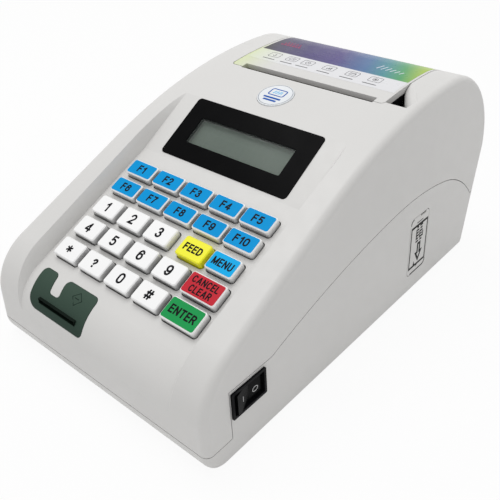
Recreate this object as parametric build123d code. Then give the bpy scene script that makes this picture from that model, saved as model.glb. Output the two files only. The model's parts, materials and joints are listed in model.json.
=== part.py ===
from build123d import *
from math import asin, atan2, cos, pi, radians, sin, sqrt, tan
import os

# Compact counter ticket register, in millimetres.
# X runs to the operator's right, Y to the back, Z up. The origin is the centre of the
# footprint on the table. The sloping deck carries the keys and the display; behind it
# the top arches over the paper compartment and rolls down into the back.

# ---------------------------------------------------------------- casing
LENGTH = 229.0            # front face to back face
BASE_WIDTH = 134.6        # across the foot of the side walls
SIDE_DRAFT = 3.6          # degrees that each side wall leans inwards
FOOT_PROUD = 2.0          # the rubber feet stand this far below the casing
CASE_HEIGHT = 102.5       # underside of the casing to the crown
WALL = 2.5                # moulded wall
EDGE_R = 3.5              # rounding along the side edges
DECK_TILT = 26.0          # degrees, slope of the keypad
ARCH_R = 248.0            # arch from the slope to the crown
REAR_ROLL_R = 45.0        # crown down to the back
FRONT_ROLL_R = 28.0       # slope of the rails down to the front face
FRONT_FOOT_R = 13.0       # front face under to the base
REAR_FOOT_R = 7.0
REAR_BEND_R = 15.0
REAR_STRAIGHT = 2.2       # upright stretch of the back under its roll
REAR_TUCK_UPPER = 6.0     # the back comes forward by this at the parting line
REAR_TUCK_LOWER = 13.5    # and by this at the foot of its slope
SKIRT = 4.0               # the side rounding dies out this far below the base

# ---------------------------------------------------------------- parting line
SEAM = 0.35               # gap between the two mouldings
FRONT_PART_RISE = 9.0     # height of the seam above the base along the front
SWITCH_TAB_FRONT = 14.0   # front face to the front edge of the switch tab
SWITCH_TAB_RISE = 32.3    # base to the top of the switch tab
SWITCH_TAB_LENGTH = 25.0
TAB_INNER_X = 56.0        # the tabs are part of the side walls only
TAB_INNER_DEPTH = 6.5     # and the front wall keeps clear of them this far behind their front edge
# From the tab the seam runs back in three arcs: the points they pass, measured from the
# front face and up from the base.
SEAM_RISE = (80.0, 43.9)
SEAM_SHOULDER = (133.0, 52.9)
SEAM_BROW = (181.0, 51.0)
SEAM_END_Y = 217.5        # front face to where the seam meets the level one of the back
REAR_PART_RISE = 30.0     # height of the seam above the base along the back

# ---------------------------------------------------------------- deck
KEY_TOP_Y = 67.0          # front face to the middle of the first key row
KEY_TOP_RISE = 69.5       # base to the key tops there
DECK_DROP = 3.4           # key tops above the deck
DECK_FOOT_X = 47.5        # half width of the sunk deck at its foot
RAIL_INNER_X = 52.0       # half width where the rails level off
DECK_ROLL_R = 22.0        # deck down to the front face
RAIL_LIFT = 1.2           # the rail's inner wall is drawn on to this height above its top
PANEL_OVERRUN = 1.06      # the panel's line is drawn on by this share of its length
DECK_EXIT = 4.0           # the deck's front roll runs on straight for this long
RAIL_STEPS = 4            # sections between the foot and the top of a rail's inner wall
PANEL_START = 13.0        # first key row to the crease below the display

# ---------------------------------------------------------------- keys
COLUMN_PITCH = 17.5
NUMBER_PITCH = 17.1
NUMBER_X = -35.5          # first column of white keys
ROW_S = (0.0, -11.5, -24.1, -36.85, -49.7)
FEED_X = 18.6
MENU_X = 35.0
WIDE_X = 34.8
FUNCTION_SIZE = (15.7, 8.3)
NUMBER_SIZE = (14.4, 9.7)
MENU_SIZE = (14.4, 9.0)
WIDE_SIZE = (18.3, 10.3)
KEY_CORNER_R = 1.2
KEY_BEVEL = 0.45
KEY_GAP = 0.5             # key to the edge of its opening
KEY_TRAVEL = 1.2
KEY_LIP = 0.5             # flange that keeps the key in the deck
KEY_LIP_DEPTH = 1.0
SLIDE_GAP = 0.3           # flange to the underside of the deck
KEY_SIDE_PLAY = 0.5       # the flange is this much narrower than the key on each side

# ---------------------------------------------------------------- keypad under the deck
PAD_GAP = 0.3             # pressed key to the dome under it
DOME_R = 3.0
DOME_RISE = 0.6
DOME_TAPER = 10.0
MAT_THICKNESS = 1.2
BOARD_THICKNESS = 1.6
KEYPAD_HALF_WIDTH = 47.5
KEYPAD_S = (-57.0, 8.0)
POST_X = 46.2
POST_S = (4.0, -27.0, -55.0)
POST_R = 1.3

# ---------------------------------------------------------------- display
PANEL_TOP = 110.5         # front face to where the panel meets the arch
BEZEL_SIZE = (74.7, 33.7)
BEZEL_S = 18.55           # crease to the middle of the bezel
BEZEL_PROUD = 0.4
BEZEL_THICKNESS = 1.9
BEZEL_CORNER_R = 2.0
WINDOW_SIZE = (55.9, 14.6)
WINDOW_S = 18.1
WINDOW_THICKNESS = 1.2
WINDOW_DROP = 0.3         # window below the face of the bezel
MODULE_SIZE = (80.0, 33.0)
GLASS_SIZE = (66.0, 22.0)
GLASS_DEPTH = 4.0
FIT_GAP = 0.15            # between a trim piece and its recess
TRIM_GAP = 0.05           # between pieces that are glued or clipped together
WINDOW_CORNER_R = 0.6

# ---------------------------------------------------------------- badge
BADGE_X = -3.5
BADGE_Y = 12.0
BADGE_R = 9.0
BADGE_THICKNESS = 1.2
BADGE_PROUD = 0.5

# ---------------------------------------------------------------- card slot
SLOT_TILT = 48.0          # degrees, facing plane of the insert's outline
INSERT_X = (-42.5, -5.6)
INSERT_V = (-76.2, -57.8)
NOTCH_X = (-31.5, -25.1)
NOTCH_LEAN = 1.6
NOTCH_V = -66.8
INSERT_R = 2.6
INSERT_HEEL_R = 5.5
NOTCH_R = 1.6
INSERT_THICKNESS = 1.3
INSERT_PROUD = 0.15
SLOT_X = (-35.6, -10.4)
SLOT_Z = (31.5, 34.0)
READER_X = (-38.6, -7.4)
READER_Y = (-107.5, -82.0)
READER_Z = (29.6, 34.7)

# ---------------------------------------------------------------- printer lid
LID_HALF_WIDTH = 45.0
LID_FRONT_Y = 27.6        # front edge of the opening
LID_CORNER_R = 2.0
LID_GAP = 0.4
LID_SKIN = 2.2
PAPER_SLOT_X = (-38.0, 40.0)
PAPER_SLOT = 3.8
LIP_THICKNESS = 1.2
LIP_FOOT_Z = 99.2
HINGE_Y = 87.0
HINGE_Z = 98.0
HINGE_R = 2.8
HINGE_GAP = 0.4
HINGE_PIN_R = 1.5
HINGE_PIN_SHORT = 1.0     # the pin ends this far inside its lugs
RUNNING_FIT = 0.05
LUG_LENGTH = 4.6
SKIRT_THICKNESS = 2.0
SKIRT_DEPTH = 3.2         # below the top of the lid
SKIRT_Y = (30.6, 82.0)

# ---------------------------------------------------------------- platen carrier
CARRIER_Y = (31.6, 46.6)
CARRIER_FOOT_Z = 91.0
CROSSBAR_Y = (43.6, 46.6)
CROSSBAR_Z = (95.0, 98.0)
BEARING_R = 5.2

# ---------------------------------------------------------------- finger recess
RECESS_CORNER = (55.8, 29.4)     # plan corner farthest from the lid
RECESS_SIDE_END = (57.3, 38.2)   # the recess's right edge runs from the corner to here
RECESS_WALL_Y = 46.5             # its slanting wall meets the lid's edge here
RECESS_ROLL_R = 5.0              # the top rolls over into the slanting wall
RECESS_FOOT_Z = 91.0

# ---------------------------------------------------------------- platen and gears
PLATEN_Y = 36.5
PLATEN_Z = 94.0
PLATEN_R = 5.0
PLATEN_HALF_LENGTH = 39.3
SHAFT_R = 2.0
SHAFT_HALF_LENGTH = 44.8
MODULE_MM = 0.5
PLATEN_TEETH = 20
IDLER_TEETH = 28
PINION_TEETH = 12
ADDENDUM = 0.4
DEDENDUM = 0.62
PRESSURE_ANGLE = 20.0
BACKLASH = 0.2
GEAR_X = (40.4, 42.4)
STUD_R = 1.25
STUD_HEAD_R = 2.1
MOTOR_Y = 24.5
MOTOR_Z = 76.2
MOTOR_R = 9.0
MOTOR_LENGTH = 12.0
MOTOR_SHAFT_R = 0.75
MOTOR_EDGE_R = 0.9
MOTOR_EARS = (22.0, 5.0)

# ---------------------------------------------------------------- print head and frame
HEAD_TILT = 20.0          # degrees, head face leaning back
HEAD_GAP = 0.3
HEAD_HALF_LENGTH = 39.0
HEAD_SPAN = (-6.0, 4.0)
HEAD_THICKNESS = 2.0
HEAD_GLAZE = 0.5
SPRING_SHEET = 0.4
SPRING_HALF_WIDTH = 22.0
SPRING_DROP = 8.0
SPRING_FOOT = 6.0
SPRING_PAD = 3.0
FRAME_Y = (14.0, 35.0)
FRAME_Z = (64.0, 87.0)
FRAME_SHEET = 1.2
FRAME_CROSS_Y = 16.0
FRAME_PLATE_X = 43.0
TEAR_BAR = 0.8
TEAR_BAR_Z = (96.2, 100.2)
TEAR_TEETH = 39
TEAR_TOOTH = 0.7

# ---------------------------------------------------------------- paper
ROLL_Y = 64.5
BUCKET_Z = 69.5
BUCKET_R = 27.3
BUCKET_WALL = 1.8
BUCKET_HALF_WIDTH = 46.0
BUCKET_FRONT_Z = 74.0
BUCKET_CORNER_Y = 57.5    # its right wall is low up to here, clear of the finger recess
ROLL_R = 25.0
CORE_R = 8.0
CORE_BORE_R = 6.2
PAPER_HALF_WIDTH = 39.7
SEAT_GAP = 0.3

# ---------------------------------------------------------------- power switch
SWITCH_Y = -89.95
SWITCH_RISE = 24.5
SWITCH_FLANGE = (19.7, 12.7)
SWITCH_CORNER_R = 0.5
SWITCH_BODY = (18.5, 11.5)
SWITCH_PROUD = 0.9
SWITCH_DEPTH = 15.0
ROCKER = (16.1, 9.7)
ROCKER_GAP = 0.3
ROCKER_END_GAP = 0.6
ROCKER_FLOOR = -6.5
ROCKER_AXIS = -1.5        # below the side wall
ROCKER_FACE = -0.3        # middle of the rocker against the side wall
ROCKER_BELLY = 2.6
ROCKER_THROW = 14.0
ROCKER_PIN_R = 1.0
ROCKER_PIN_LENGTH = 10.9

# ---------------------------------------------------------------- side hatch
HATCH_Y = (34.0, 52.5)
HATCH_Z = (11.5, 44.2)
HATCH_THICKNESS = 2.0
HATCH_PIVOT_DEPTH = 1.3
HATCH_PIVOT_RISE = 3.5
HATCH_STUB_R = 0.8
HATCH_STUB_LENGTH = 1.4
HATCH_CORNER_R = 2.5
HATCH_GAP = 0.25
HATCH_LEDGE = 0.5         # the pocket starts this far behind the skin
POCKET_DEPTH = 12.0
POCKET_WALL = 1.5
PORT_SIZE = (13.0, 14.0)
PORT_MOUTH = (9.5, 7.0)
PORT_DEPTH = 9.0
PORT_PROUD = 3.0
PORT_FIT = 0.1
NAIL_NOTCH = (6.0, 2.4)

# ---------------------------------------------------------------- inside
SCREW_X = 54.0
SCREW_Y = (-62.0, 76.0)
SCREW_R = 1.5
SCREW_HEAD_R = 2.8
SCREW_HEAD = 2.4
SCREW_LENGTH = 24.0
BOSS_R = 4.2
BOSS_TOP_Z = 20.0
COUNTERBORE_R = 3.3
COUNTERBORE_DEPTH = 4.0
FOOT_XY = (48.0, -91.0, 88.0)
FOOT_R = 7.0
FOOT_STUB_R = 3.0
FOOT_STUB = 1.2
BATTERY = (70.0, 52.0, 18.0)
BATTERY_XY = (-4.0, -50.0)
MAIN_BOARD_Z = 9.5
MAIN_BOARD_HALF_WIDTH = 44.0
MAIN_BOARD_Y = (-16.0, 94.0)
STANDOFF_R = 2.5
BOARD_POST = (38.0, -10.0, 88.0)
CHIPS = ((0.0, 20.0, 16.0, 16.0, 2.0), (-24.0, 0.0, 10.0, 14.0, 3.0), (25.0, 64.0, 14.0, 12.0, 9.0))
JACK_X = -30.0
JACK_SIZE = (9.0, 14.0, 11.0)
JACK_BORE_R = 3.0
JACK_BORE_DEPTH = 9.8
JACK_PIN_R = 1.0
JACK_INSET = 1.6
VENT_SIZE = (2.4, 26.0)
VENT_CORNER_R = 1.1
VENT_COUNT = 9
VENT_PITCH = 6.0
VENT_Y = 45.0


T = radians(DECK_TILT)
FRONT = -LENGTH / 2
REAR = LENGTH / 2
BASE = FOOT_PROUD
TOP = BASE + CASE_HEIGHT
CROWN_Y = REAR - REAR_ROLL_R
ARCH_CENTRE = (CROWN_Y, TOP - ARCH_R)
ARCH_START = (CROWN_Y - ARCH_R * sin(T), TOP - ARCH_R + ARCH_R * cos(T))
KEY_ORIGIN = Vector(0, FRONT + KEY_TOP_Y, BASE + KEY_TOP_RISE)
ROLL_END = radians(85)    # the deck's front roll runs on straight from here
TOOL_REACH = 30.0         # cutting tools run this far past the casing
CUT_PAST = 1.0            # and drills this far past the face that they enter or leave
SAME_WAY = 0.99           # cosine above which a face counts as facing along an axis


# ---------------------------------------------------------------- plain shapes
def place(x=0.0, y=0.0, z=0.0):
    return Location((x, y, z))


def block(x0, x1, y0, y1, z0, z1):
    """Box between two corners."""
    centre = ((x0 + x1) / 2, (y0 + y1) / 2, (z0 + z1) / 2)
    return place(*centre) * Box(x1 - x0, y1 - y0, z1 - z0)


def post(x, y, radius, z0, z1):
    """Upright round bar."""
    return place(x, y, (z0 + z1) / 2) * Cylinder(radius, z1 - z0)


def bar(y, z, radius, x0, x1):
    """Round bar along X."""
    return extrude(Plane.YZ.offset(x0) * (place(y, z) * Circle(radius)), x1 - x0)


def slab(plane, size, radius, low, high):
    """Rounded rectangle standing between two heights over a plane."""
    return extrude(plane.offset(low) * RectangleRounded(size[0], size[1], radius), high - low)


def shifted(plane, x=0.0, y=0.0, z=0.0):
    """The plane with its origin moved in its own axes."""
    return Plane(origin=plane.from_local_coords((x, y, z)), x_dir=plane.x_dir, z_dir=plane.z_dir)


def plan_prism(points, z0, z1):
    """Polygon of (x, y) corners, standing between two heights."""
    face = make_face(Polyline(*points, close=True).edges())
    return extrude(Plane.XY.offset(z0) * face, z1 - z0)


def prism(points, x0, x1):
    """Polygon of (y, z) corners, extruded along X."""
    face = make_face(Polyline(*points, close=True).edges())
    return extrude(Plane.YZ.offset(x0) * face, x1 - x0)


# ---------------------------------------------------------------- surfaces of the casing
def arch_height(y, drop=0.0):
    """Height of the arched top at y, measured drop below the skin."""
    radius = ARCH_R - drop
    return ARCH_CENTRE[1] + sqrt(radius ** 2 - (y - CROWN_Y) ** 2)


def deck_point(s, h=0.0):
    """(y, z) of a point s up the slope from the first key row and h above the key tops."""
    return (KEY_ORIGIN.Y + s * cos(T) - h * sin(T), KEY_ORIGIN.Z + s * sin(T) + h * cos(T))


def deck_plane(x, s, h):
    y, z = deck_point(s, h)
    return Plane(origin=(x, y, z), x_dir=(1, 0, 0), z_dir=(0, -sin(T), cos(T)))


CREASE = deck_point(PANEL_START, -DECK_DROP)
PANEL_HEAD = (FRONT + PANEL_TOP, arch_height(FRONT + PANEL_TOP))
P = atan2(PANEL_HEAD[1] - CREASE[1], PANEL_HEAD[0] - CREASE[0])


def panel_plane(x, s, h):
    y = CREASE[0] + s * cos(P) - h * sin(P)
    z = CREASE[1] + s * sin(P) + h * cos(P)
    return Plane(origin=(x, y, z), x_dir=(1, 0, 0), z_dir=(0, -sin(P), cos(P)))


def side_plane(sign, inset=0.0):
    """Plane of a side wall, facing out; its local x runs to the back and y up the wall."""
    lean = radians(SIDE_DRAFT)
    normal = Vector(sign * cos(lean), 0, sin(lean))
    foot = Vector(sign * (BASE_WIDTH / 2 - inset / cos(lean)), 0, BASE)
    return Plane(origin=foot, x_dir=(0, 1, 0), z_dir=normal)


def side_x(z, inset=0.0):
    """Half width of the casing at height z."""
    return BASE_WIDTH / 2 - inset / cos(radians(SIDE_DRAFT)) - (z - BASE) * tan(radians(SIDE_DRAFT))


def roll_centre(start, radius):
    """Centre of the arc that turns a line falling forwards through start into the front face."""
    y = FRONT + radius
    return (y, start[1] + (y - start[0]) * tan(T) - radius / cos(T))


def on_circle(centre, radius, angle):
    """Point where a circle's tangent falls forwards at the angle."""
    return (centre[0] - radius * sin(angle), centre[1] + radius * cos(angle))


def side_profile():
    """Outline of the casing seen from the side, in local (y, z)."""
    centre = roll_centre(ARCH_START, FRONT_ROLL_R)
    roll = [on_circle(centre, FRONT_ROLL_R, a) for a in (pi / 2, (T + pi / 2) / 2, T)]
    bottom = BASE - SKIRT
    arch_mid_y = (ARCH_START[0] + CROWN_Y) / 2
    rear_z = TOP - REAR_ROLL_R
    turn = REAR_ROLL_R * (1 - cos(pi / 4))
    bend = (REAR, rear_z - REAR_STRAIGHT)
    step = (REAR - REAR_TUCK_UPPER, BASE + REAR_PART_RISE)
    heel = (REAR - REAR_TUCK_LOWER, bottom)
    toe = (FRONT, bottom)
    edges = [
        ThreePointArc(*roll),
        Line(roll[2], ARCH_START),
        ThreePointArc(ARCH_START, (arch_mid_y, arch_height(arch_mid_y)), (CROWN_Y, TOP)),
        ThreePointArc((CROWN_Y, TOP), (REAR - turn, TOP - turn), (REAR, rear_z)),
        Line((REAR, rear_z), bend),
        Line(bend, step),
        Line(step, heel),
        Line(heel, toe),
        Line(toe, roll[0]),
    ]
    face = make_face(edges)
    for point, radius in ((toe, FRONT_FOOT_R), (heel, REAR_FOOT_R), (bend, REAR_BEND_R)):
        vertex = face.vertices().sort_by_distance((point[0], point[1], 0))[0]
        face = fillet(vertex, radius)
    return face


def casing_block(inset):
    """The whole casing as one solid, moved inwards by inset."""
    face = side_profile()
    if inset:
        face = offset(face, -inset)
    solid = extrude(Plane.YZ * face, BASE_WIDTH, both=True)
    for sign in (1, -1):
        solid = split(solid, bisect_by=side_plane(sign, inset), keep=Keep.BOTTOM)
    rims = [solid.faces().sort_by(Axis.X)[i].outer_wire().edges() for i in (0, -1)]
    solid = fillet(rims[0] + rims[1], EDGE_R - inset)
    floor = Plane((0, 0, BASE + inset))
    return split(solid, bisect_by=floor, keep=Keep.TOP)


# ---------------------------------------------------------------- sunk deck
def blend(a, b, share):
    return (a[0] + share * (b[0] - a[0]), a[1] + share * (b[1] - a[1]))


def deck_outline(x, share=0.0, drop=0.0):
    """Face at x that covers all above the deck (share 0) or above the rails (share 1).

    drop lowers the deck along its normal."""
    tool_top = TOP + TOOL_REACH
    between = (T + P) / 2
    crease = (CREASE[0] + drop * sin(between), CREASE[1] - drop * cos(between))
    panel = (PANEL_HEAD[0] - CREASE[0], PANEL_HEAD[1] - CREASE[1])
    head = (crease[0] + PANEL_OVERRUN * panel[0], crease[1] + PANEL_OVERRUN * panel[1])
    low = [head, blend(crease, head, 0.5), crease]
    lift = RAIL_LIFT
    high = [(y, arch_height(y, -lift)) for y, z in low]
    angles = (T, (T + ROLL_END) / 2, ROLL_END)
    low_centre = roll_centre(CREASE, DECK_ROLL_R)
    high_centre = roll_centre(ARCH_START, FRONT_ROLL_R)
    low += [on_circle(low_centre, DECK_ROLL_R - drop, a) for a in angles]
    high += [on_circle(high_centre, FRONT_ROLL_R + lift, a) for a in angles]
    p = [blend(a, b, share) for a, b in zip(low, high)]
    leave = (p[5][0] - DECK_EXIT * cos(ROLL_END), p[5][1] - DECK_EXIT * sin(ROLL_END))
    corner = FRONT - TOOL_REACH
    first = ThreePointArc(p[0], p[1], p[2]) if share else Line(p[0], p[2])
    edges = [
        first,
        Line(p[2], p[3]),
        ThreePointArc(p[3], p[4], p[5]),
        Line(p[5], leave),
        Line(leave, (corner, leave[1])),
        Line((corner, leave[1]), (corner, tool_top)),
        Line((corner, tool_top), (p[0][0], tool_top)),
        Line((p[0][0], tool_top), p[0]),
    ]
    return Plane.YZ.offset(x) * make_face(edges)


def deck_tool(half_width, drop=0.0):
    """Everything above the deck between the rails."""
    return extrude(deck_outline(-half_width, 0.0, drop), 2 * half_width)


def rail_tool(sign):
    """Soft inner wall of a rail: steep at its foot, level at its top."""
    sections = []
    for i in range(RAIL_STEPS + 1):
        u = i / RAIL_STEPS
        x = DECK_FOOT_X + u * (RAIL_INNER_X - DECK_FOOT_X)
        sections.append(deck_outline(sign * x, 1 - (1 - u) ** 2))
    return loft(sections)


# ---------------------------------------------------------------- parting surface
def lower_zone(gap):
    """Everything below the seam, lowered by gap."""
    tab_y = FRONT + SWITCH_TAB_FRONT
    tab_z = BASE + SWITCH_TAB_RISE
    tab_end = tab_y + SWITCH_TAB_LENGTH
    rise, shoulder, brow = [(FRONT + y, BASE + z) for y, z in (SEAM_RISE, SEAM_SHOULDER, SEAM_BROW)]
    rear_y = FRONT + SEAM_END_Y
    rear_z = BASE + REAR_PART_RISE
    low = BASE - TOOL_REACH
    front = FRONT - TOOL_REACH
    back = REAR + TOOL_REACH
    corners = [(back, rear_z), (back, low), (front, low), (front, BASE + FRONT_PART_RISE)]
    corners += [(tab_y, BASE + FRONT_PART_RISE), (tab_y, tab_z), (tab_end, tab_z)]
    edges = [ThreePointArc((tab_end, tab_z), rise, shoulder)]
    edges.append(TangentArc(shoulder, brow, tangent=edges[-1] % 1))
    edges.append(TangentArc(brow, (rear_y, rear_z), tangent=edges[-1] % 1))
    edges.append(Line((rear_y, rear_z), corners[0]))
    edges += [Line(a, b) for a, b in zip(corners, corners[1:])]
    face = make_face(edges)
    if gap:
        face = offset(face, -gap)
    zone = extrude(Plane.YZ * face, BASE_WIDTH, both=True)
    return zone - block(-TAB_INNER_X, TAB_INNER_X, front, tab_y + TAB_INNER_DEPTH, BASE + FRONT_PART_RISE - gap, TOP)


# ---------------------------------------------------------------- keys
KEY_FOOT = -(DECK_DROP + WALL + SLIDE_GAP)
FLANGE_FOOT = KEY_FOOT - KEY_LIP_DEPTH
DOME_TOP = FLANGE_FOOT - KEY_TRAVEL - PAD_GAP
MAT_TOP = DOME_TOP - DOME_RISE
BOARD_TOP = MAT_TOP - MAT_THICKNESS
BOARD_FOOT = BOARD_TOP - BOARD_THICKNESS


def key_layout():
    """Name, place and size of every key: (name, x, s, size)."""
    keys = []
    for i in range(10):
        column = (i % 5 - 2) * COLUMN_PITCH
        keys.append((f"key_f{i + 1}", column, ROW_S[i // 5], FUNCTION_SIZE))
    rows = (("1", "2", "3"), ("4", "5", "6", "9"), ("star", "query", "0", "hash"))
    for row, names in enumerate(rows):
        for column, name in enumerate(names):
            x = NUMBER_X + column * NUMBER_PITCH
            keys.append((f"key_{name}", x, ROW_S[2 + row], NUMBER_SIZE))
    keys.append(("key_feed", FEED_X, ROW_S[2], NUMBER_SIZE))
    keys.append(("key_menu", MENU_X, ROW_S[2], MENU_SIZE))
    keys.append(("key_cancel", WIDE_X, ROW_S[3], WIDE_SIZE))
    keys.append(("key_enter", WIDE_X, ROW_S[4], WIDE_SIZE))
    return keys


def key_cap(x, s, size):
    seat = deck_plane(x, s, 0)
    cap = slab(seat, size, KEY_CORNER_R, FLANGE_FOOT, 0)
    face = cap.faces().filter_by(lambda f: f.normal_at().dot(seat.z_dir) > SAME_WAY)[0]
    cap = chamfer(face.edges(), KEY_BEVEL)
    lip = (size[0] - 2 * KEY_SIDE_PLAY, size[1] + 2 * (KEY_GAP + KEY_LIP))
    return cap + slab(seat, lip, KEY_CORNER_R / 2, FLANGE_FOOT, KEY_FOOT)


def key_openings():
    holes = []
    for _, x, s, size in key_layout():
        hole = (size[0] + 2 * KEY_GAP, size[1] + 2 * KEY_GAP)
        deep = -(DECK_DROP + 2 * WALL)
        holes.append(slab(deck_plane(x, s, 0), hole, KEY_CORNER_R + KEY_GAP, deep, 0))
    return holes


KEYPAD_MID_S = (KEYPAD_S[0] + KEYPAD_S[1]) / 2
KEYPAD_SIZE = (2 * KEYPAD_HALF_WIDTH, KEYPAD_S[1] - KEYPAD_S[0])


def keypad_mat():
    seat = deck_plane(0, KEYPAD_MID_S, 0)
    mat = slab(seat, KEYPAD_SIZE, KEY_CORNER_R, BOARD_TOP, MAT_TOP)
    domes = []
    for _, x, s, _ in key_layout():
        domes.append(extrude(deck_plane(x, s, MAT_TOP) * Circle(DOME_R), DOME_RISE, taper=DOME_TAPER))
    return mat + domes


def keypad_board():
    return slab(deck_plane(0, KEYPAD_MID_S, 0), KEYPAD_SIZE, KEY_CORNER_R, BOARD_FOOT, BOARD_TOP)


def keypad_posts():
    """Posts from the underside of the deck to the mat."""
    posts = []
    for s in POST_S:
        for x in (-POST_X, POST_X):
            posts.append(extrude(deck_plane(x, s, MAT_TOP) * Circle(POST_R), -MAT_TOP - DECK_DROP - WALL / 2))
    return posts


# ---------------------------------------------------------------- display
BEZEL_BACK = BEZEL_PROUD - BEZEL_THICKNESS
WINDOW_BACK = BEZEL_PROUD - WINDOW_DROP - WINDOW_THICKNESS


def lcd_bezel():
    frame = slab(panel_plane(0, BEZEL_S, 0), BEZEL_SIZE, BEZEL_CORNER_R, BEZEL_BACK, BEZEL_PROUD)
    hole = slab(panel_plane(0, WINDOW_S, 0), WINDOW_SIZE, WINDOW_CORNER_R, -WALL, WALL)
    return frame - hole


def lcd_window():
    size = (WINDOW_SIZE[0] - 2 * TRIM_GAP, WINDOW_SIZE[1] - 2 * TRIM_GAP)
    return slab(panel_plane(0, WINDOW_S, 0), size, WINDOW_CORNER_R, WINDOW_BACK, WINDOW_BACK + WINDOW_THICKNESS)


def display_cut():
    pocket = (BEZEL_SIZE[0] + 2 * FIT_GAP, BEZEL_SIZE[1] + 2 * FIT_GAP)
    cut = slab(panel_plane(0, BEZEL_S, 0), pocket, BEZEL_CORNER_R, BEZEL_BACK, WALL)
    return cut + slab(panel_plane(0, WINDOW_S, 0), WINDOW_SIZE, WINDOW_CORNER_R, -2 * WALL, WALL)


def lcd_module():
    top = -WALL - TRIM_GAP
    glass = slab(panel_plane(0, WINDOW_S, 0), GLASS_SIZE, WINDOW_CORNER_R, top - GLASS_DEPTH, top)
    card = slab(panel_plane(0, WINDOW_S, 0), MODULE_SIZE, WINDOW_CORNER_R,
                top - GLASS_DEPTH - BOARD_THICKNESS, top - GLASS_DEPTH)
    return glass + card


# ---------------------------------------------------------------- badge
def badge_plane():
    angle = asin((CROWN_Y - BADGE_Y) / ARCH_R)
    origin = (BADGE_X, BADGE_Y, arch_height(BADGE_Y))
    return Plane(origin=origin, x_dir=(1, 0, 0), z_dir=(0, -sin(angle), cos(angle)))


def round_badge():
    disc = extrude(badge_plane().offset(BADGE_PROUD - BADGE_THICKNESS) * Circle(BADGE_R), BADGE_THICKNESS)
    face = disc.faces().filter_by(lambda f: f.normal_at().dot(badge_plane().z_dir) > SAME_WAY)[0]
    return fillet(face.edges(), BADGE_PROUD * 0.8)


def badge_recess():
    depth = BADGE_THICKNESS - BADGE_PROUD
    return extrude(badge_plane().offset(-depth) * Circle(BADGE_R + FIT_GAP), depth + WALL)


# ---------------------------------------------------------------- card slot
def slot_plane():
    a = radians(SLOT_TILT)
    return Plane(origin=(0, KEY_ORIGIN.Y, KEY_ORIGIN.Z), x_dir=(1, 0, 0), z_dir=(0, -sin(a), cos(a)))


def insert_outline(grow):
    """Outline of the insert: a plate with a notch open to its top edge."""
    x0, x1 = INSERT_X[0] - grow, INSERT_X[1] + grow
    v0, v1 = INSERT_V[0] - grow, INSERT_V[1] + grow
    n0, n1 = NOTCH_X[0] + grow, NOTCH_X[1] - grow
    lean = NOTCH_LEAN
    points = [(x0, v0), (x1, v0), (x1, v1), (n1 - lean, v1), (n1, NOTCH_V + grow)]
    points += [(n0, NOTCH_V + grow), (n0 - lean, v1), (x0, v1)]
    face = make_face(Polyline(*points, close=True).edges())
    radii = [INSERT_HEEL_R, INSERT_R, INSERT_R, INSERT_R, NOTCH_R, NOTCH_R, INSERT_R, INSERT_R]
    for point, radius in zip(points, radii):
        vertex = face.vertices().sort_by_distance((point[0], point[1], 0))[0]
        face = fillet(vertex, radius)
    return face


def insert_body(grow, depth, proud):
    """The outline cut out of a layer that follows the deck and its front roll."""
    column = extrude(slot_plane() * insert_outline(grow), -2 * TOOL_REACH)
    column += extrude(slot_plane() * insert_outline(grow), 2 * TOOL_REACH)
    layer = deck_tool(DECK_FOOT_X, depth) - deck_tool(DECK_FOOT_X, -proud)
    return column & layer


def card_mouth():
    """Slot that the card goes through."""
    return block(SLOT_X[0], SLOT_X[1], FRONT - TOOL_REACH, READER_Y[1] - POCKET_WALL, SLOT_Z[0], SLOT_Z[1])


def card_slot_insert():
    return insert_body(0, INSERT_THICKNESS, INSERT_PROUD) - card_mouth()


def card_reader():
    body = block(*READER_X, *READER_Y, *READER_Z)
    skin = deck_tool(DECK_FOOT_X, WALL + SEAT_GAP)
    return body - skin - card_mouth()


# ---------------------------------------------------------------- finger recess
LID_SIDE_X = LID_HALF_WIDTH + LID_GAP
RECESS_RUN = 2 * TOOL_REACH      # the roll is drawn this far past both ends, then trimmed


def recess_plane():
    """Plane at the outer corner: x square to the slanting wall, y off the top, z along the wall."""
    x0, y0 = RECESS_CORNER
    run = Vector(x0 - LID_SIDE_X, y0 - RECESS_WALL_Y, arch_height(y0) - arch_height(RECESS_WALL_Y))
    slope = (arch_height(RECESS_WALL_Y) - arch_height(y0)) / (RECESS_WALL_Y - y0)
    up = Vector(0, -slope, 1)
    return Plane(origin=(x0, y0, arch_height(y0)), x_dir=up.cross(run), z_dir=run)


def recess_arc(radius):
    """Quarter turn from the slanting wall up into the top."""
    r = RECESS_ROLL_R
    diagonal = radius * cos(pi / 4)
    return ThreePointArc((r - radius, -r), (r - diagonal, diagonal - r), (r, radius - r))


def along_recess(edges):
    """Profile drawn square to the slanting wall and run along it."""
    return extrude(recess_plane() * make_face(edges), RECESS_RUN / 2, both=True)


def recess_walls():
    """Wall under the roll, and the one along the right edge of the recess."""
    r = RECESS_ROLL_R
    inner = r - WALL
    low = RECESS_FOOT_Z - TOP - WALL
    rolled = along_recess([
        recess_arc(r),
        Line((r, 0), (r, inner - r)),
        recess_arc(inner),
        Line((WALL, -r), (WALL, low)),
        Line((WALL, low), (0, low)),
        Line((0, low), (0, -r)),
    ])
    corner, end = RECESS_CORNER, RECESS_SIDE_END
    border = [corner, end, (end[0] + WALL, end[1]), (corner[0] + WALL, corner[1])]
    reach = CROWN_Y
    room = block(LID_SIDE_X, side_x(TOP), corner[1] - WALL * 3, reach, RECESS_FOOT_Z, TOP)
    return (rolled & room) + plan_prism(border, RECESS_FOOT_Z, TOP)


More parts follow.
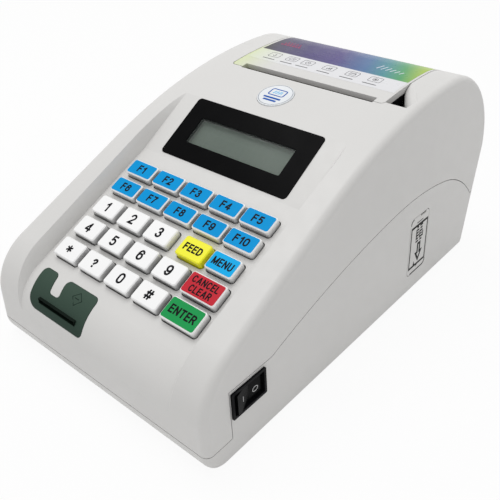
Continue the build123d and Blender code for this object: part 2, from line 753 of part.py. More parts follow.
def recess_cut():
    """Three-cornered well beside the lid and the room above the roll."""
    r = RECESS_ROLL_R
    corner, end = RECESS_CORNER, RECESS_SIDE_END
    high = TOP + WALL
    well = plan_prism([(LID_SIDE_X, corner[1]), corner, (LID_SIDE_X, RECESS_WALL_Y)], RECESS_FOOT_Z - WALL, high)
    above = along_recess([
        recess_arc(r),
        Line((r, 0), (r, r)),
        Line((r, r), (-r, r)),
        Line((-r, r), (-r, -r)),
        Line((-r, -r), (0, -r)),
    ])
    shown = [(LID_SIDE_X, corner[1]), corner, end, (end[0], CROWN_Y), (LID_SIDE_X, CROWN_Y)]
    return well + (above & plan_prism(shown, RECESS_FOOT_Z, high))


# ---------------------------------------------------------------- upper housing
def lid_plan(grow, y0, y1, z0, z1):
    """Block as wide as the lid with its two front corners rounded."""
    half = LID_HALF_WIDTH + grow
    shape = block(-half, half, y0, y1, z0, z1)
    return fillet(shape.edges().filter_by(Axis.Z).group_by(Axis.Y)[0], LID_CORNER_R + grow)


def lid_opening():
    opening = lid_plan(LID_GAP, LID_FRONT_Y, HINGE_Y + HINGE_R + HINGE_GAP, BUCKET_Z, TOP + WALL)
    blade = block(PAPER_SLOT_X[0], PAPER_SLOT_X[1], LID_FRONT_Y - TEAR_BAR, LID_FRONT_Y + WALL,
                  TEAR_BAR_Z[0], TOP + WALL)
    return opening + blade


def hinge_lugs(outer):
    lugs = []
    for sign in (1, -1):
        x0, x1 = sorted((sign * LID_SIDE_X, sign * (LID_SIDE_X + LUG_LENGTH)))
        lugs.append(bar(HINGE_Y, HINGE_Z, HINGE_R + HINGE_GAP, x0, x1))
    return (lugs[0] + lugs[1]) & outer


def upper_housing(outer, cavity):
    bosses = [post(sign * SCREW_X, y, BOSS_R, BOSS_TOP_Z, TOP) for sign in (1, -1) for y in SCREW_Y]
    posts = keypad_posts()
    hollow = cavity - bosses - posts - recess_walls()
    shell = (outer - hollow) - lower_zone(0)
    stems = [post(sign * SCREW_X, y, BOSS_R, BOSS_TOP_Z, BOSS_TOP_Z + TOOL_REACH)
             for sign in (1, -1) for y in SCREW_Y]
    shell = shell + stems
    shell = shell - lid_opening() - recess_cut()
    shell = shell + hinge_lugs(outer)
    shell = shell - hinge_bore(HINGE_PIN_R)
    shell = shell - key_openings()
    shell = shell - display_cut() - badge_recess()
    shell = shell - insert_body(FIT_GAP, INSERT_THICKNESS, WALL) - card_mouth()
    pilots = [post(sign * SCREW_X, y, SCREW_R + RUNNING_FIT, BOSS_TOP_Z, SCREW_TOP_Z + CUT_PAST)
              for sign in (1, -1) for y in SCREW_Y]
    return shell - pilots


def hinge_bore(radius):
    reach = LID_SIDE_X + LUG_LENGTH - HINGE_PIN_SHORT
    return bar(HINGE_Y, HINGE_Z, radius, -reach, reach)


# ---------------------------------------------------------------- lower housing
SCREW_SEAT_Z = BASE + COUNTERBORE_DEPTH
SCREW_TOP_Z = SCREW_SEAT_Z + SCREW_LENGTH
FLOOR_Z = BASE + WALL


def foot_places():
    return [(sign * FOOT_XY[0], y) for sign in (1, -1) for y in FOOT_XY[1:]]


def switch_seat(high=0.0):
    """Plane of the switch on the right side wall."""
    wall = side_plane(1)
    return shifted(wall, SWITCH_Y, SWITCH_RISE, high)


def hatch_pocket():
    """Walls of the well behind the hatch, and the room inside it."""
    y0, y1 = HATCH_Y[0] - POCKET_WALL, HATCH_Y[1] + POCKET_WALL
    z0, z1 = HATCH_Z[0] - POCKET_WALL, HATCH_Z[1] + POCKET_WALL
    face = side_x(HATCH_Z[0])
    back = face - WALL - POCKET_DEPTH
    walls = block(back - POCKET_WALL, face, y0, y1, z0, z1)
    room = block(back, face - WALL - HATCH_LEDGE, *HATCH_Y, *HATCH_Z)
    return walls, room


def hatch_opening():
    y_mid = (HATCH_Y[0] + HATCH_Y[1]) / 2
    z_mid = (HATCH_Z[0] + HATCH_Z[1]) / 2
    rise = (z_mid - BASE) / cos(radians(SIDE_DRAFT))
    size = (HATCH_Y[1] - HATCH_Y[0] + 2 * HATCH_GAP, (HATCH_Z[1] - HATCH_Z[0]) + 2 * HATCH_GAP)
    return slab(shifted(side_plane(1), y_mid, rise), size, HATCH_CORNER_R, -WALL - POCKET_WALL, WALL)


def lower_housing(outer, cavity):
    pocket_walls, pocket_room = hatch_pocket()
    bosses = [post(sign * SCREW_X, y, BOSS_R, BASE, BOSS_TOP_Z) for sign in (1, -1) for y in SCREW_Y]
    stands = [post(x, y, STANDOFF_R, BASE, MAIN_BOARD_Z) for x, y in board_posts()]
    zone = lower_zone(SEAM)
    hollow = cavity - pocket_walls - bosses - stands
    shell = (outer - hollow) & zone
    shell = shell - pocket_room - hatch_opening()
    shell = shell - port_block(PORT_FIT)
    shell = shell - [hatch_stub(HATCH_STUB_R + RUNNING_FIT, sign) for sign in (1, -1)]
    for sign in (1, -1):
        for y in SCREW_Y:
            shell -= post(sign * SCREW_X, y, COUNTERBORE_R, BASE - CUT_PAST, SCREW_SEAT_Z)
            shell -= post(sign * SCREW_X, y, SCREW_R + SEAT_GAP, BASE, BOSS_TOP_Z + CUT_PAST)
    shell = shell - [post(x, y, FOOT_STUB_R, BASE - CUT_PAST, BASE + FOOT_STUB) for x, y in foot_places()]
    shell = shell - slab(switch_seat(), SWITCH_CUT, SWITCH_CORNER_R, -WALL * 2, WALL)
    jack_hole = block(JACK_X - JACK_SIZE[0] / 2 - FIT_GAP, JACK_X + JACK_SIZE[0] / 2 + FIT_GAP,
                      JACK_FACE_Y - WALL, REAR, JACK_Z0 - FIT_GAP, JACK_Z0 + JACK_SIZE[2] + FIT_GAP)
    shell = shell - jack_hole
    vents = []
    for i in range(VENT_COUNT):
        x = (i - (VENT_COUNT - 1) / 2) * VENT_PITCH
        vents.append(slab(shifted(Plane.XY, x, VENT_Y), VENT_SIZE, VENT_CORNER_R, 0, FLOOR_Z + CUT_PAST))
    return shell - vents


# ---------------------------------------------------------------- base fittings
def rubber_feet():
    feet = []
    for x, y in foot_places():
        pad = post(x, y, FOOT_R, 0, BASE)
        pad = fillet(pad.edges().sort_by(Axis.Z)[0], BASE * 0.4)
        feet.append(pad + post(x, y, FOOT_STUB_R, BASE, BASE + FOOT_STUB))
    return Compound(children=feet)


def housing_screws():
    screws = []
    for sign in (1, -1):
        for y in SCREW_Y:
            x = sign * SCREW_X
            head = post(x, y, SCREW_HEAD_R, SCREW_SEAT_Z - SCREW_HEAD, SCREW_SEAT_Z)
            screws.append(head + post(x, y, SCREW_R, SCREW_SEAT_Z, SCREW_TOP_Z))
    return Compound(children=screws)


# ---------------------------------------------------------------- printer lid
def below_skirts(outer, gap=0.0):
    """Everything under the foot of the lid's side skirts."""
    return place(0, 0, -SKIRT_DEPTH - gap) * outer


def lid_shell(outer, inner):
    """Arched skin with its lip, side skirts and hinge barrel."""
    half = LID_HALF_WIDTH
    skin = (outer - inner) & lid_plan(0, LID_FRONT_Y + LID_GAP, HINGE_Y, BUCKET_Z, TOP + WALL)
    lip_y = LID_FRONT_Y + PAPER_SLOT
    slot = block(*PAPER_SLOT_X, LID_FRONT_Y, lip_y, BUCKET_Z, TOP + WALL)
    skin = skin - slot
    parts = [block(*PAPER_SLOT_X, lip_y, lip_y + LIP_THICKNESS, LIP_FOOT_Z, TOP) & outer]
    for sign in (1, -1):
        x0, x1 = sorted((sign * half, sign * (half - SKIRT_THICKNESS)))
        parts.append((block(x0, x1, *SKIRT_Y, HINGE_Z, TOP) & outer) - below_skirts(outer))
    barrel = bar(HINGE_Y, HINGE_Z, HINGE_R, -half, half)
    lid = skin + parts + barrel
    return lid - bar(HINGE_Y, HINGE_Z, HINGE_PIN_R + RUNNING_FIT, -half, half)


def platen_carrier(outer):
    """Cradle clipped under the lid: two bearing plates and the bar that joins them."""
    half = LID_HALF_WIDTH
    cradle = block(-half, half, *CROSSBAR_Y, *CROSSBAR_Z)
    for sign in (1, -1):
        x0, x1 = sorted((sign * half, sign * (half - SKIRT_THICKNESS)))
        cradle += block(x0, x1, *CARRIER_Y, CARRIER_FOOT_Z, TOP)
        cradle += bar(PLATEN_Y, PLATEN_Z, BEARING_R, x0, x1)
    cradle = cradle & below_skirts(outer, TRIM_GAP)
    return cradle - bar(PLATEN_Y, PLATEN_Z, SHAFT_R + RUNNING_FIT, -half, half)


# ---------------------------------------------------------------- platen and gears
def gear(teeth, y, z, bore, turn):
    """Spur gear along X with straight-flanked teeth; turn is in tooth pitches."""
    pitch_r = teeth * MODULE_MM / 2
    pitch_angle = 2 * pi / teeth
    width = pi * MODULE_MM / 2 - BACKLASH / 2
    flank = tan(radians(PRESSURE_ANGLE))
    points = []
    for i in range(teeth):
        middle = (i + turn) * pitch_angle
        levels = ((-DEDENDUM, -1), (ADDENDUM, -1), (ADDENDUM, 1), (-DEDENDUM, 1))
        for height, side in levels:
            radius = pitch_r + height
            half = (width / 2 - height * flank) / pitch_r
            angle = middle + side * half
            points.append((y + radius * cos(angle), z + radius * sin(angle)))
    blank = prism(points, *GEAR_X)
    return blank - bar(y, z, bore, *GEAR_X)


def distance(teeth_a, teeth_b):
    return (teeth_a + teeth_b) * MODULE_MM / 2


def idler_centre():
    """Point that meshes with both the platen gear and the motor pinion."""
    a = distance(PLATEN_TEETH, IDLER_TEETH)
    b = distance(IDLER_TEETH, PINION_TEETH)
    dy, dz = MOTOR_Y - PLATEN_Y, MOTOR_Z - PLATEN_Z
    span = sqrt(dy ** 2 + dz ** 2)
    along = (a ** 2 - b ** 2 + span ** 2) / (2 * span)
    aside = sqrt(a ** 2 - along ** 2)
    return (PLATEN_Y + (along * dy - aside * dz) / span, PLATEN_Z + (along * dz + aside * dy) / span)


IDLER_Y, IDLER_Z = idler_centre()


def facing(y0, z0, y1, z1):
    return atan2(z1 - z0, y1 - y0)


def gear_turns():
    """Tooth offsets, in pitches, that put a tooth of one gear in a gap of the next."""
    up = facing(IDLER_Y, IDLER_Z, PLATEN_Y, PLATEN_Z)
    down = facing(IDLER_Y, IDLER_Z, MOTOR_Y, MOTOR_Z)
    idler = up / (2 * pi / IDLER_TEETH)
    platen = (up + pi) / (2 * pi / PLATEN_TEETH) + 0.5
    towards = down / (2 * pi / IDLER_TEETH) - idler
    pinion = (down + pi) / (2 * pi / PINION_TEETH) + 0.5 + towards
    return platen, idler, pinion


PLATEN_TURN, IDLER_TURN, PINION_TURN = gear_turns()


def platen_shaft():
    return bar(PLATEN_Y, PLATEN_Z, SHAFT_R, -SHAFT_HALF_LENGTH, SHAFT_HALF_LENGTH)


def platen_roller():
    sleeve = bar(PLATEN_Y, PLATEN_Z, PLATEN_R, -PLATEN_HALF_LENGTH, PLATEN_HALF_LENGTH)
    return sleeve - platen_shaft()


def idler_stud():
    """Headed stud riveted into the frame's right plate."""
    pin = bar(IDLER_Y, IDLER_Z, STUD_R, GEAR_X[0] - SEAT_GAP, FRAME_PLATE_X + FRAME_SHEET)
    head = bar(IDLER_Y, IDLER_Z, STUD_HEAD_R, GEAR_X[0] - SEAT_GAP - STUD_R, GEAR_X[0] - SEAT_GAP)
    return pin + head


def stepper_motor():
    plate = FRAME_PLATE_X + FRAME_SHEET
    body = bar(MOTOR_Y, MOTOR_Z, MOTOR_R, plate, plate + MOTOR_LENGTH)
    body = fillet(body.edges().group_by(Axis.X)[-1], MOTOR_EDGE_R)
    ears = place(MOTOR_Y, MOTOR_Z) * SlotOverall(*MOTOR_EARS)
    return body + extrude(Plane.YZ.offset(plate) * ears, FRAME_SHEET)


def motor_pinion():
    plate = FRAME_PLATE_X + FRAME_SHEET
    shaft = bar(MOTOR_Y, MOTOR_Z, MOTOR_SHAFT_R, GEAR_X[0], plate - SEAT_GAP)
    return gear(PINION_TEETH, MOTOR_Y, MOTOR_Z, MOTOR_SHAFT_R, PINION_TURN) + shaft


# ---------------------------------------------------------------- print head and frame
def head_plane():
    a = radians(HEAD_TILT)
    reach = PLATEN_R + HEAD_GAP
    origin = (0, PLATEN_Y - reach * cos(a), PLATEN_Z - reach * sin(a))
    return Plane(origin=origin, x_dir=(1, 0, 0), z_dir=(0, cos(a), sin(a)))


def print_head():
    """Flat head with its raised glaze line; local y runs down the face."""
    seat = head_plane()
    middle = -(HEAD_SPAN[0] + HEAD_SPAN[1]) / 2
    size = (2 * HEAD_HALF_LENGTH, HEAD_SPAN[1] - HEAD_SPAN[0])
    plate = slab(shifted(seat, 0, middle), size, HEAD_GLAZE, -HEAD_THICKNESS - HEAD_GLAZE, -HEAD_GLAZE)
    strip = slab(seat, (size[0], 3 * HEAD_GLAZE), HEAD_GLAZE / 2, -HEAD_GLAZE, 0)
    return plate + strip


def head_spring():
    """Leaf from the cross wall of the frame to the back of the head."""
    a = radians(HEAD_TILT)
    back = head_plane().offset(-HEAD_THICKNESS - HEAD_GLAZE - SPRING_SHEET / 2 - TRIM_GAP)
    y, z = back.origin.Y, back.origin.Z
    root = FRAME_CROSS_Y + FRAME_SHEET + SPRING_SHEET / 2
    knee = (root, z - SPRING_DROP)
    foot = (root, knee[1] - SPRING_FOOT)
    heel = (y + SPRING_PAD * sin(a), z - SPRING_PAD * cos(a))
    path = Polyline(foot, knee, heel, (y, z))
    leaf = Plane.YZ.offset(-SPRING_HALF_WIDTH) * trace(path, SPRING_SHEET)
    return extrude(leaf, 2 * SPRING_HALF_WIDTH)


def printer_frame(inner):
    """Bent sheet: a cross wall in front of the head, a plate at each end and the idler's stud."""
    x = FRAME_PLATE_X + FRAME_SHEET
    cross = block(-x, x, FRAME_CROSS_Y, FRAME_CROSS_Y + FRAME_SHEET, FRAME_Z[0], TOP) & inner
    frame = cross
    for sign in (1, -1):
        x0, x1 = sorted((sign * FRAME_PLATE_X, sign * x))
        plate = block(x0, x1, *FRAME_Y, *FRAME_Z)
        frame = frame + plate
    frame = frame - bar(MOTOR_Y, MOTOR_Z, MOTOR_SHAFT_R + SEAT_GAP, 0, TOP)
    return frame + idler_stud()


def tear_bar():
    """Steel strip with a saw edge at the front of the paper slot."""
    x0, x1 = PAPER_SLOT_X
    pitch = (x1 - x0) / TEAR_TEETH
    points = [(x0, TEAR_BAR_Z[0])]
    for i in range(TEAR_TEETH):
        points.append((x0 + i * pitch, TEAR_BAR_Z[1] - TEAR_TOOTH))
        points.append((x0 + (i + 0.5) * pitch, TEAR_BAR_Z[1]))
    points += [(x1, TEAR_BAR_Z[1] - TEAR_TOOTH), (x1, TEAR_BAR_Z[0])]
    face = make_face(Polyline(*points, close=True).edges())
    return extrude(Plane.XZ.offset(-LID_FRONT_Y) * face, TEAR_BAR)


# ---------------------------------------------------------------- paper
def bucket_outline(radius, x0, x1):
    """U-shaped well, open at the top."""
    sketch = place(ROLL_Y, BUCKET_Z) * Circle(radius)
    straight = place(ROLL_Y, (BUCKET_Z + TOP) / 2) * Rectangle(2 * radius, TOP - BUCKET_Z)
    return extrude(Plane.YZ.offset(x0) * (sketch + straight), x1 - x0)


def paper_bucket(inner):
    """Drop-in well for the roll, hung under the top of the housing."""
    half = BUCKET_HALF_WIDTH
    wide = half + BUCKET_WALL
    shell = bucket_outline(BUCKET_R + BUCKET_WALL, -wide, wide) - bucket_outline(BUCKET_R, -half, half)
    shell = shell & inner
    y_front = ROLL_Y - BUCKET_R - BUCKET_WALL
    shell = shell - block(-half, half, y_front - 1, ROLL_Y - BUCKET_R / 2, BUCKET_FRONT_Z, TOP)
    lug_z = HINGE_Z - HINGE_R - 2 * HINGE_GAP
    lug_y = HINGE_R + 3 * HINGE_GAP
    shell = shell - block(-wide, wide, HINGE_Y - lug_y, HINGE_Y + lug_y, lug_z, TOP)
    corner = block(0, wide, y_front - 1, BUCKET_CORNER_Y, RECESS_FOOT_Z - SEAT_GAP, TOP)
    return shell - corner


ROLL_Z = BUCKET_Z - BUCKET_R + ROLL_R + SEAT_GAP


def paper_roll():
    half = PAPER_HALF_WIDTH
    return bar(ROLL_Y, ROLL_Z, ROLL_R, -half, half) - bar(ROLL_Y, ROLL_Z, CORE_R, -half, half)


def paper_core():
    half = PAPER_HALF_WIDTH
    return bar(ROLL_Y, ROLL_Z, CORE_R, -half, half) - bar(ROLL_Y, ROLL_Z, CORE_BORE_R, -half, half)


# ---------------------------------------------------------------- power switch
SWITCH_CUT = (SWITCH_BODY[0] + 2 * FIT_GAP, SWITCH_BODY[1] + 2 * FIT_GAP)


def switch_housing():
    seat = switch_seat()
    body = slab(seat, SWITCH_BODY, SWITCH_CORNER_R, -SWITCH_DEPTH, 0)
    flange = slab(seat, SWITCH_FLANGE, SWITCH_CORNER_R, 0, SWITCH_PROUD)
    well = (ROCKER[0] + 2 * ROCKER_END_GAP, ROCKER[1] + 2 * ROCKER_GAP)
    housing = body + flange - slab(seat, well, SWITCH_CORNER_R, ROCKER_FLOOR, SWITCH_PROUD)
    return housing - rocker_pin(ROCKER_PIN_R + RUNNING_FIT, ROCKER_PIN_LENGTH / 2 + RUNNING_FIT)


def rocker_pin(radius, half_length):
    """Trunnions of the rocker, upright in the middle of the switch."""
    seat = switch_seat()
    axle = Plane(origin=shifted(seat, 0, 0, ROCKER_AXIS).origin, x_dir=seat.x_dir, z_dir=seat.y_dir)
    return extrude(axle * Circle(radius), half_length, both=True)


def switch_rocker():
    """Shallow V of two faces on trunnions, turned so that the O half lies flush."""
    half = ROCKER[0] / 2
    middle = ROCKER_FACE - ROCKER_AXIS
    end = middle + half * tan(radians(ROCKER_THROW / 2))
    belly = -ROCKER_BELLY
    points = [(-half, end), (0, middle), (half, end), (half, belly / 4)]
    points += [(half / 2, belly), (-half / 2, belly), (-half, belly / 4)]
    seat = switch_seat()
    axle = shifted(seat, 0, 0, ROCKER_AXIS)
    across = Plane(origin=axle.origin, x_dir=axle.x_dir, z_dir=-axle.y_dir)
    face = across * make_face(Polyline(*points, close=True).edges())
    body = extrude(face, ROCKER[1] / 2, both=True)
    body = body + rocker_pin(ROCKER_PIN_R, ROCKER_PIN_LENGTH / 2)
    return body.rotate(Axis(axle.origin, axle.y_dir), ROCKER_THROW / 2)


# ---------------------------------------------------------------- side hatch
def hatch_middle():
    return (sum(HATCH_Y) / 2, (sum(HATCH_Z) / 2 - BASE) / cos(radians(SIDE_DRAFT)))


def hatch_axle(high=0.0):
    """Plane at the middle of the hatch's hinge line, with the same axes as the wall."""
    y, rise = hatch_middle()
    foot = rise - (HATCH_Z[1] - HATCH_Z[0]) / 2
    return shifted(side_plane(1), y, foot + HATCH_PIVOT_RISE, high - HATCH_PIVOT_DEPTH)


def hatch_stub(radius, sign):
    half = (HATCH_Y[1] - HATCH_Y[0]) / 2
    axle = hatch_axle()
    start = shifted(axle, sign * (half - HATCH_STUB_LENGTH))
    plane = Plane(origin=start.origin, x_dir=axle.y_dir, z_dir=axle.x_dir * sign)
    return extrude(plane * Circle(radius), 2 * HATCH_STUB_LENGTH)


def side_hatch():
    """Flush door with two hinge stubs and a nail notch at its top edge."""
    size = (HATCH_Y[1] - HATCH_Y[0], HATCH_Z[1] - HATCH_Z[0])
    middle = shifted(side_plane(1), *hatch_middle())
    door = slab(middle, size, HATCH_CORNER_R, -HATCH_THICKNESS, 0)
    notch = slab(shifted(middle, size[0] / 2 - NAIL_NOTCH[0], size[1] / 2), NAIL_NOTCH, NAIL_NOTCH[1] / 3,
                 -HATCH_THICKNESS / 2, WALL)
    return door - notch + [hatch_stub(HATCH_STUB_R, sign) for sign in (1, -1)]


def port_block(grow=0.0):
    """Room that the data socket takes in the back wall of the hatch pocket."""
    y, _ = hatch_middle()
    z = sum(HATCH_Z) / 2
    back = side_x(HATCH_Z[0]) - WALL - POCKET_DEPTH
    half_y, half_z = PORT_SIZE[0] / 2 + grow, PORT_SIZE[1] / 2 + grow
    return block(back - PORT_DEPTH, back + PORT_PROUD, y - half_y, y + half_y, z - half_z, z + half_z)


def data_port():
    body = port_block()
    box = body.bounding_box()
    mid = box.center()
    mouth = block(box.max.X - PORT_DEPTH + POCKET_WALL, box.max.X, mid.Y - PORT_MOUTH[0] / 2,
                  mid.Y + PORT_MOUTH[0] / 2, mid.Z - PORT_MOUTH[1] / 2, mid.Z + PORT_MOUTH[1] / 2)
    return body - mouth


# ---------------------------------------------------------------- inside
def board_posts():
    return [(sign * BOARD_POST[0], y) for sign in (1, -1) for y in BOARD_POST[1:]]


def battery_pack():
    x, y = BATTERY_XY
    w, d, h = BATTERY
    cell = block(x - w / 2, x + w / 2, y - d / 2, y + d / 2, FLOOR_Z, FLOOR_Z + h)
    return fillet(cell.edges().filter_by(Axis.X), h / 6)


def main_board():
    """Circuit board with its larger parts."""
    top = MAIN_BOARD_Z + BOARD_THICKNESS
    half = MAIN_BOARD_HALF_WIDTH
    board = block(-half, half, *MAIN_BOARD_Y, MAIN_BOARD_Z, top)
    chips = []
    for x, y, w, d, h in CHIPS:
        chips.append(block(x - w / 2, x + w / 2, y - d / 2, y + d / 2, top, top + h))
    return board + chips


def rear_y(z):
    """Y of the back's outer face at a height below the seam."""
    share = (z - (BASE - SKIRT)) / (REAR_PART_RISE + SKIRT)
    return REAR - REAR_TUCK_LOWER + share * (REAR_TUCK_LOWER - REAR_TUCK_UPPER)


JACK_Z0 = MAIN_BOARD_Z + BOARD_THICKNESS
JACK_FACE_Y = rear_y(JACK_Z0 + JACK_SIZE[2] / 2) - JACK_INSET


def power_jack():
    """Barrel socket with its centre contact."""
    w, d, h = JACK_SIZE
    z = JACK_Z0 + h / 2
    body = block(JACK_X - w / 2, JACK_X + w / 2, JACK_FACE_Y - d, JACK_FACE_Y, JACK_Z0, JACK_Z0 + h)
    front = Plane(origin=(JACK_X, JACK_FACE_Y, z), x_dir=(1, 0, 0), z_dir=(0, 1, 0))
    bore = extrude(front * Circle(JACK_BORE_R), -JACK_BORE_DEPTH)
    contact = extrude(front.offset(-JACK_INSET) * Circle(JACK_PIN_R), JACK_INSET - JACK_BORE_DEPTH)
    return body - bore + contact


# ---------------------------------------------------------------- the register
def register():
    """Every piece by its node name."""
    outer = casing_block(0) - deck_tool(DECK_FOOT_X) - rail_tool(1) - rail_tool(-1)
    inner = casing_block(WALL)
    cavity = inner - deck_tool(RAIL_INNER_X, WALL)
    clear = casing_block(WALL + SEAT_GAP)
    pieces = {
        "upper_housing": upper_housing(outer, cavity),
        "lower_housing": lower_housing(outer, cavity),
        "rubber_feet": rubber_feet(),
        "housing_screws": housing_screws(),
        "keypad_mat": keypad_mat(),
        "keypad_board": keypad_board(),
        "lcd_bezel": lcd_bezel(),
        "lcd_window": lcd_window(),
        "lcd_module": lcd_module(),
        "round_badge": round_badge(),
        "card_slot_insert": card_slot_insert(),
        "card_reader": card_reader(),
        "printer_lid": lid_shell(casing_block(0), casing_block(LID_SKIN)),
        "platen_carrier": platen_carrier(casing_block(0)),
        "lid_hinge_pin": hinge_bore(HINGE_PIN_R),
        "platen_shaft": platen_shaft(),
        "platen_roller": platen_roller(),
        "platen_gear": gear(PLATEN_TEETH, PLATEN_Y, PLATEN_Z, SHAFT_R, PLATEN_TURN),
        "idler_gear": gear(IDLER_TEETH, IDLER_Y, IDLER_Z, STUD_R + RUNNING_FIT, IDLER_TURN),
        "motor_pinion": motor_pinion(),
        "stepper_motor": stepper_motor(),
        "printer_frame": printer_frame(clear),
        "print_head": print_head(),
        "head_spring": head_spring(),
        "tear_bar": tear_bar(),
        "paper_bucket": paper_bucket(clear),
        "paper_roll": paper_roll(),
        "paper_core": paper_core(),
        "switch_housing": switch_housing(),
        "switch_rocker": switch_rocker(),
        "side_hatch": side_hatch(),
        "data_port": data_port(),
        "main_board": main_board(),
        "battery_pack": battery_pack(),
        "power_jack": power_jack(),
    }
    for name, x, s, size in key_layout():
        pieces[name] = key_cap(x, s, size)
    return pieces


if __name__ == "__main__":
    os.makedirs("parts", exist_ok=True)
    for node, shape in register().items():
        export_step(shape, f"parts/{node}.step")
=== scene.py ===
# Looks of the ticket register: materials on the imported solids, and the printed and
# stuck-on pieces that are too thin for the solids. Metres; +X right, +Y back, +Z up.
import json
import math

import bmesh
import bpy
from mathutils import Matrix, Vector
from mathutils.bvhtree import BVHTree


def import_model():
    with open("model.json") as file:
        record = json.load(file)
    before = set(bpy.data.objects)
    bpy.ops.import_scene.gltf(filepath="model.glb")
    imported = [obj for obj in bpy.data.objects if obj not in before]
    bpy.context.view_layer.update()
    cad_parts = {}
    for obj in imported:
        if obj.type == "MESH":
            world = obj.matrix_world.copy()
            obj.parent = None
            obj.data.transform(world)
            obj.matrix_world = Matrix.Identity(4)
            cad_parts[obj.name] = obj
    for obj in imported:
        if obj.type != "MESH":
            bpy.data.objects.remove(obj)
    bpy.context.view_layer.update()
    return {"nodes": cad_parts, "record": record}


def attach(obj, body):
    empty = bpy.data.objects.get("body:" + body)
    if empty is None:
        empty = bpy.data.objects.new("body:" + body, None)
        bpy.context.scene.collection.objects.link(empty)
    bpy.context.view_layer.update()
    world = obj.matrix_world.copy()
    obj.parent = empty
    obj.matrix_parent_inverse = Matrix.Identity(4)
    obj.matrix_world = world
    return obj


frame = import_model()

MM = 0.001

# ---------------------------------------------------------------- camera
LENS = 46.58               # millimetres, as the camera takes them, and so is SENSOR
SENSOR = 36.0
AZIMUTH = 40.27            # degrees, from the front round to the right
ELEVATION = 33.66
ROLL = -0.12
CAMERA_PLACE = (178.63 * MM, -222.13 * MM, 207.07 * MM)

# ---------------------------------------------------------------- sizes
INK = 0.02 * MM            # thickness of printed ink
FILM = 0.05 * MM           # thickness of the coloured films
HAIR = 0.01 * MM           # a film's underside stands this far off the plastic
DECK_TILT = math.radians(26)
KEY_TOP = 85.09 * MM       # the plane of the key tops, measured along the deck's normal
PAINTED_SHADE_REACH = 4.0 * MM      # how near a corner the painted shade lies
PAINTED_SHADE_SKY = (0.85, 0.25)    # share of open sky where the painted shade starts, and where it is full
PAINTED_SHADE_FULL = 0.18          # full painted shade darkens the colour to this share
KEY_SIDE = (0.7 * MM, 3.2 * MM)     # below the key tops: where the painted shade greying a side starts and is full
INSET = 0.06 * MM          # flat white rim around the coloured film of a key
FILM_CORNER = 0.9 * MM
LEVEL = 0.1 * MM           # polygons within this of the highest belong to one flat face
RAY_START = 0.2            # rays on to the solids start this far up, or this far in front

LABEL_X = (-43.6 * MM, 43.8 * MM)
LABEL_Y = (38.9 * MM, 80.0 * MM)    # front and rear edge
BAND_EDGE = 51.8 * MM               # front edge of the dark band
BAND_BLUR = 0.15 * MM
BAND_SLANT = 0.35                   # the band's colours shift to the left by this share of Y
YELLOWED_X = (-18 * MM, -44 * MM)   # where the white strip starts to yellow, and is yellowest
CAST_X = (-22 * MM, -47 * MM)       # the same for the cast on the lid, and its fading to the rear
CAST_Y = (BAND_EDGE + 12 * MM, BAND_EDGE - 4 * MM)
INSERT_Z = (30 * MM, 45 * MM)       # painted light: the card slot's green pales from here up to here

BADGE_NORMAL = (0, -0.23, 0.97)
MODULE_NORMAL = (0, -0.53, 0.85)
SAME_NORMAL = 50           # normals that agree when rounded to one part in this make one face
MITRE_LIMIT = 0.35         # a sharp corner of a drawn line reaches out no further than this allows

# ---------------------------------------------------------------- colours (linear)
CASE_GREY = (0.70, 0.692, 0.678)
KEY_WHITE = (0.97, 0.97, 0.97)
LEGEND_BLACK = (0.006, 0.006, 0.008)
BLUE = (0.004, 0.315, 0.71)
MENU_BLUE = (0.012, 0.44, 0.87)
YELLOW = (0.95, 0.92, 0.012)
RED = (0.58, 0.032, 0.048)
GREEN = (0.020, 0.33, 0.09)
TINT = (0.66, 0.76, 0.30)
INSERT_DEEP = (0.026, 0.050, 0.037)
INSERT_PAINTED_LIT = (0.060, 0.098, 0.074)
LABEL_WHITE = (0.77, 0.77, 0.79)
LABEL_YELLOWED = (0.70, 0.76, 0.53)
BAND_STOPS = (             # share of the width, colour
    (0.00, (0.030, 0.028, 0.024)),
    (0.10, (0.060, 0.050, 0.105)),
    (0.28, (0.050, 0.036, 0.150)),
    (0.50, (0.070, 0.052, 0.210)),
    (0.68, (0.060, 0.150, 0.330)),
    (0.80, (0.050, 0.260, 0.290)),
    (0.90, (0.070, 0.340, 0.120)),
    (1.00, (0.360, 0.520, 0.060)),
)


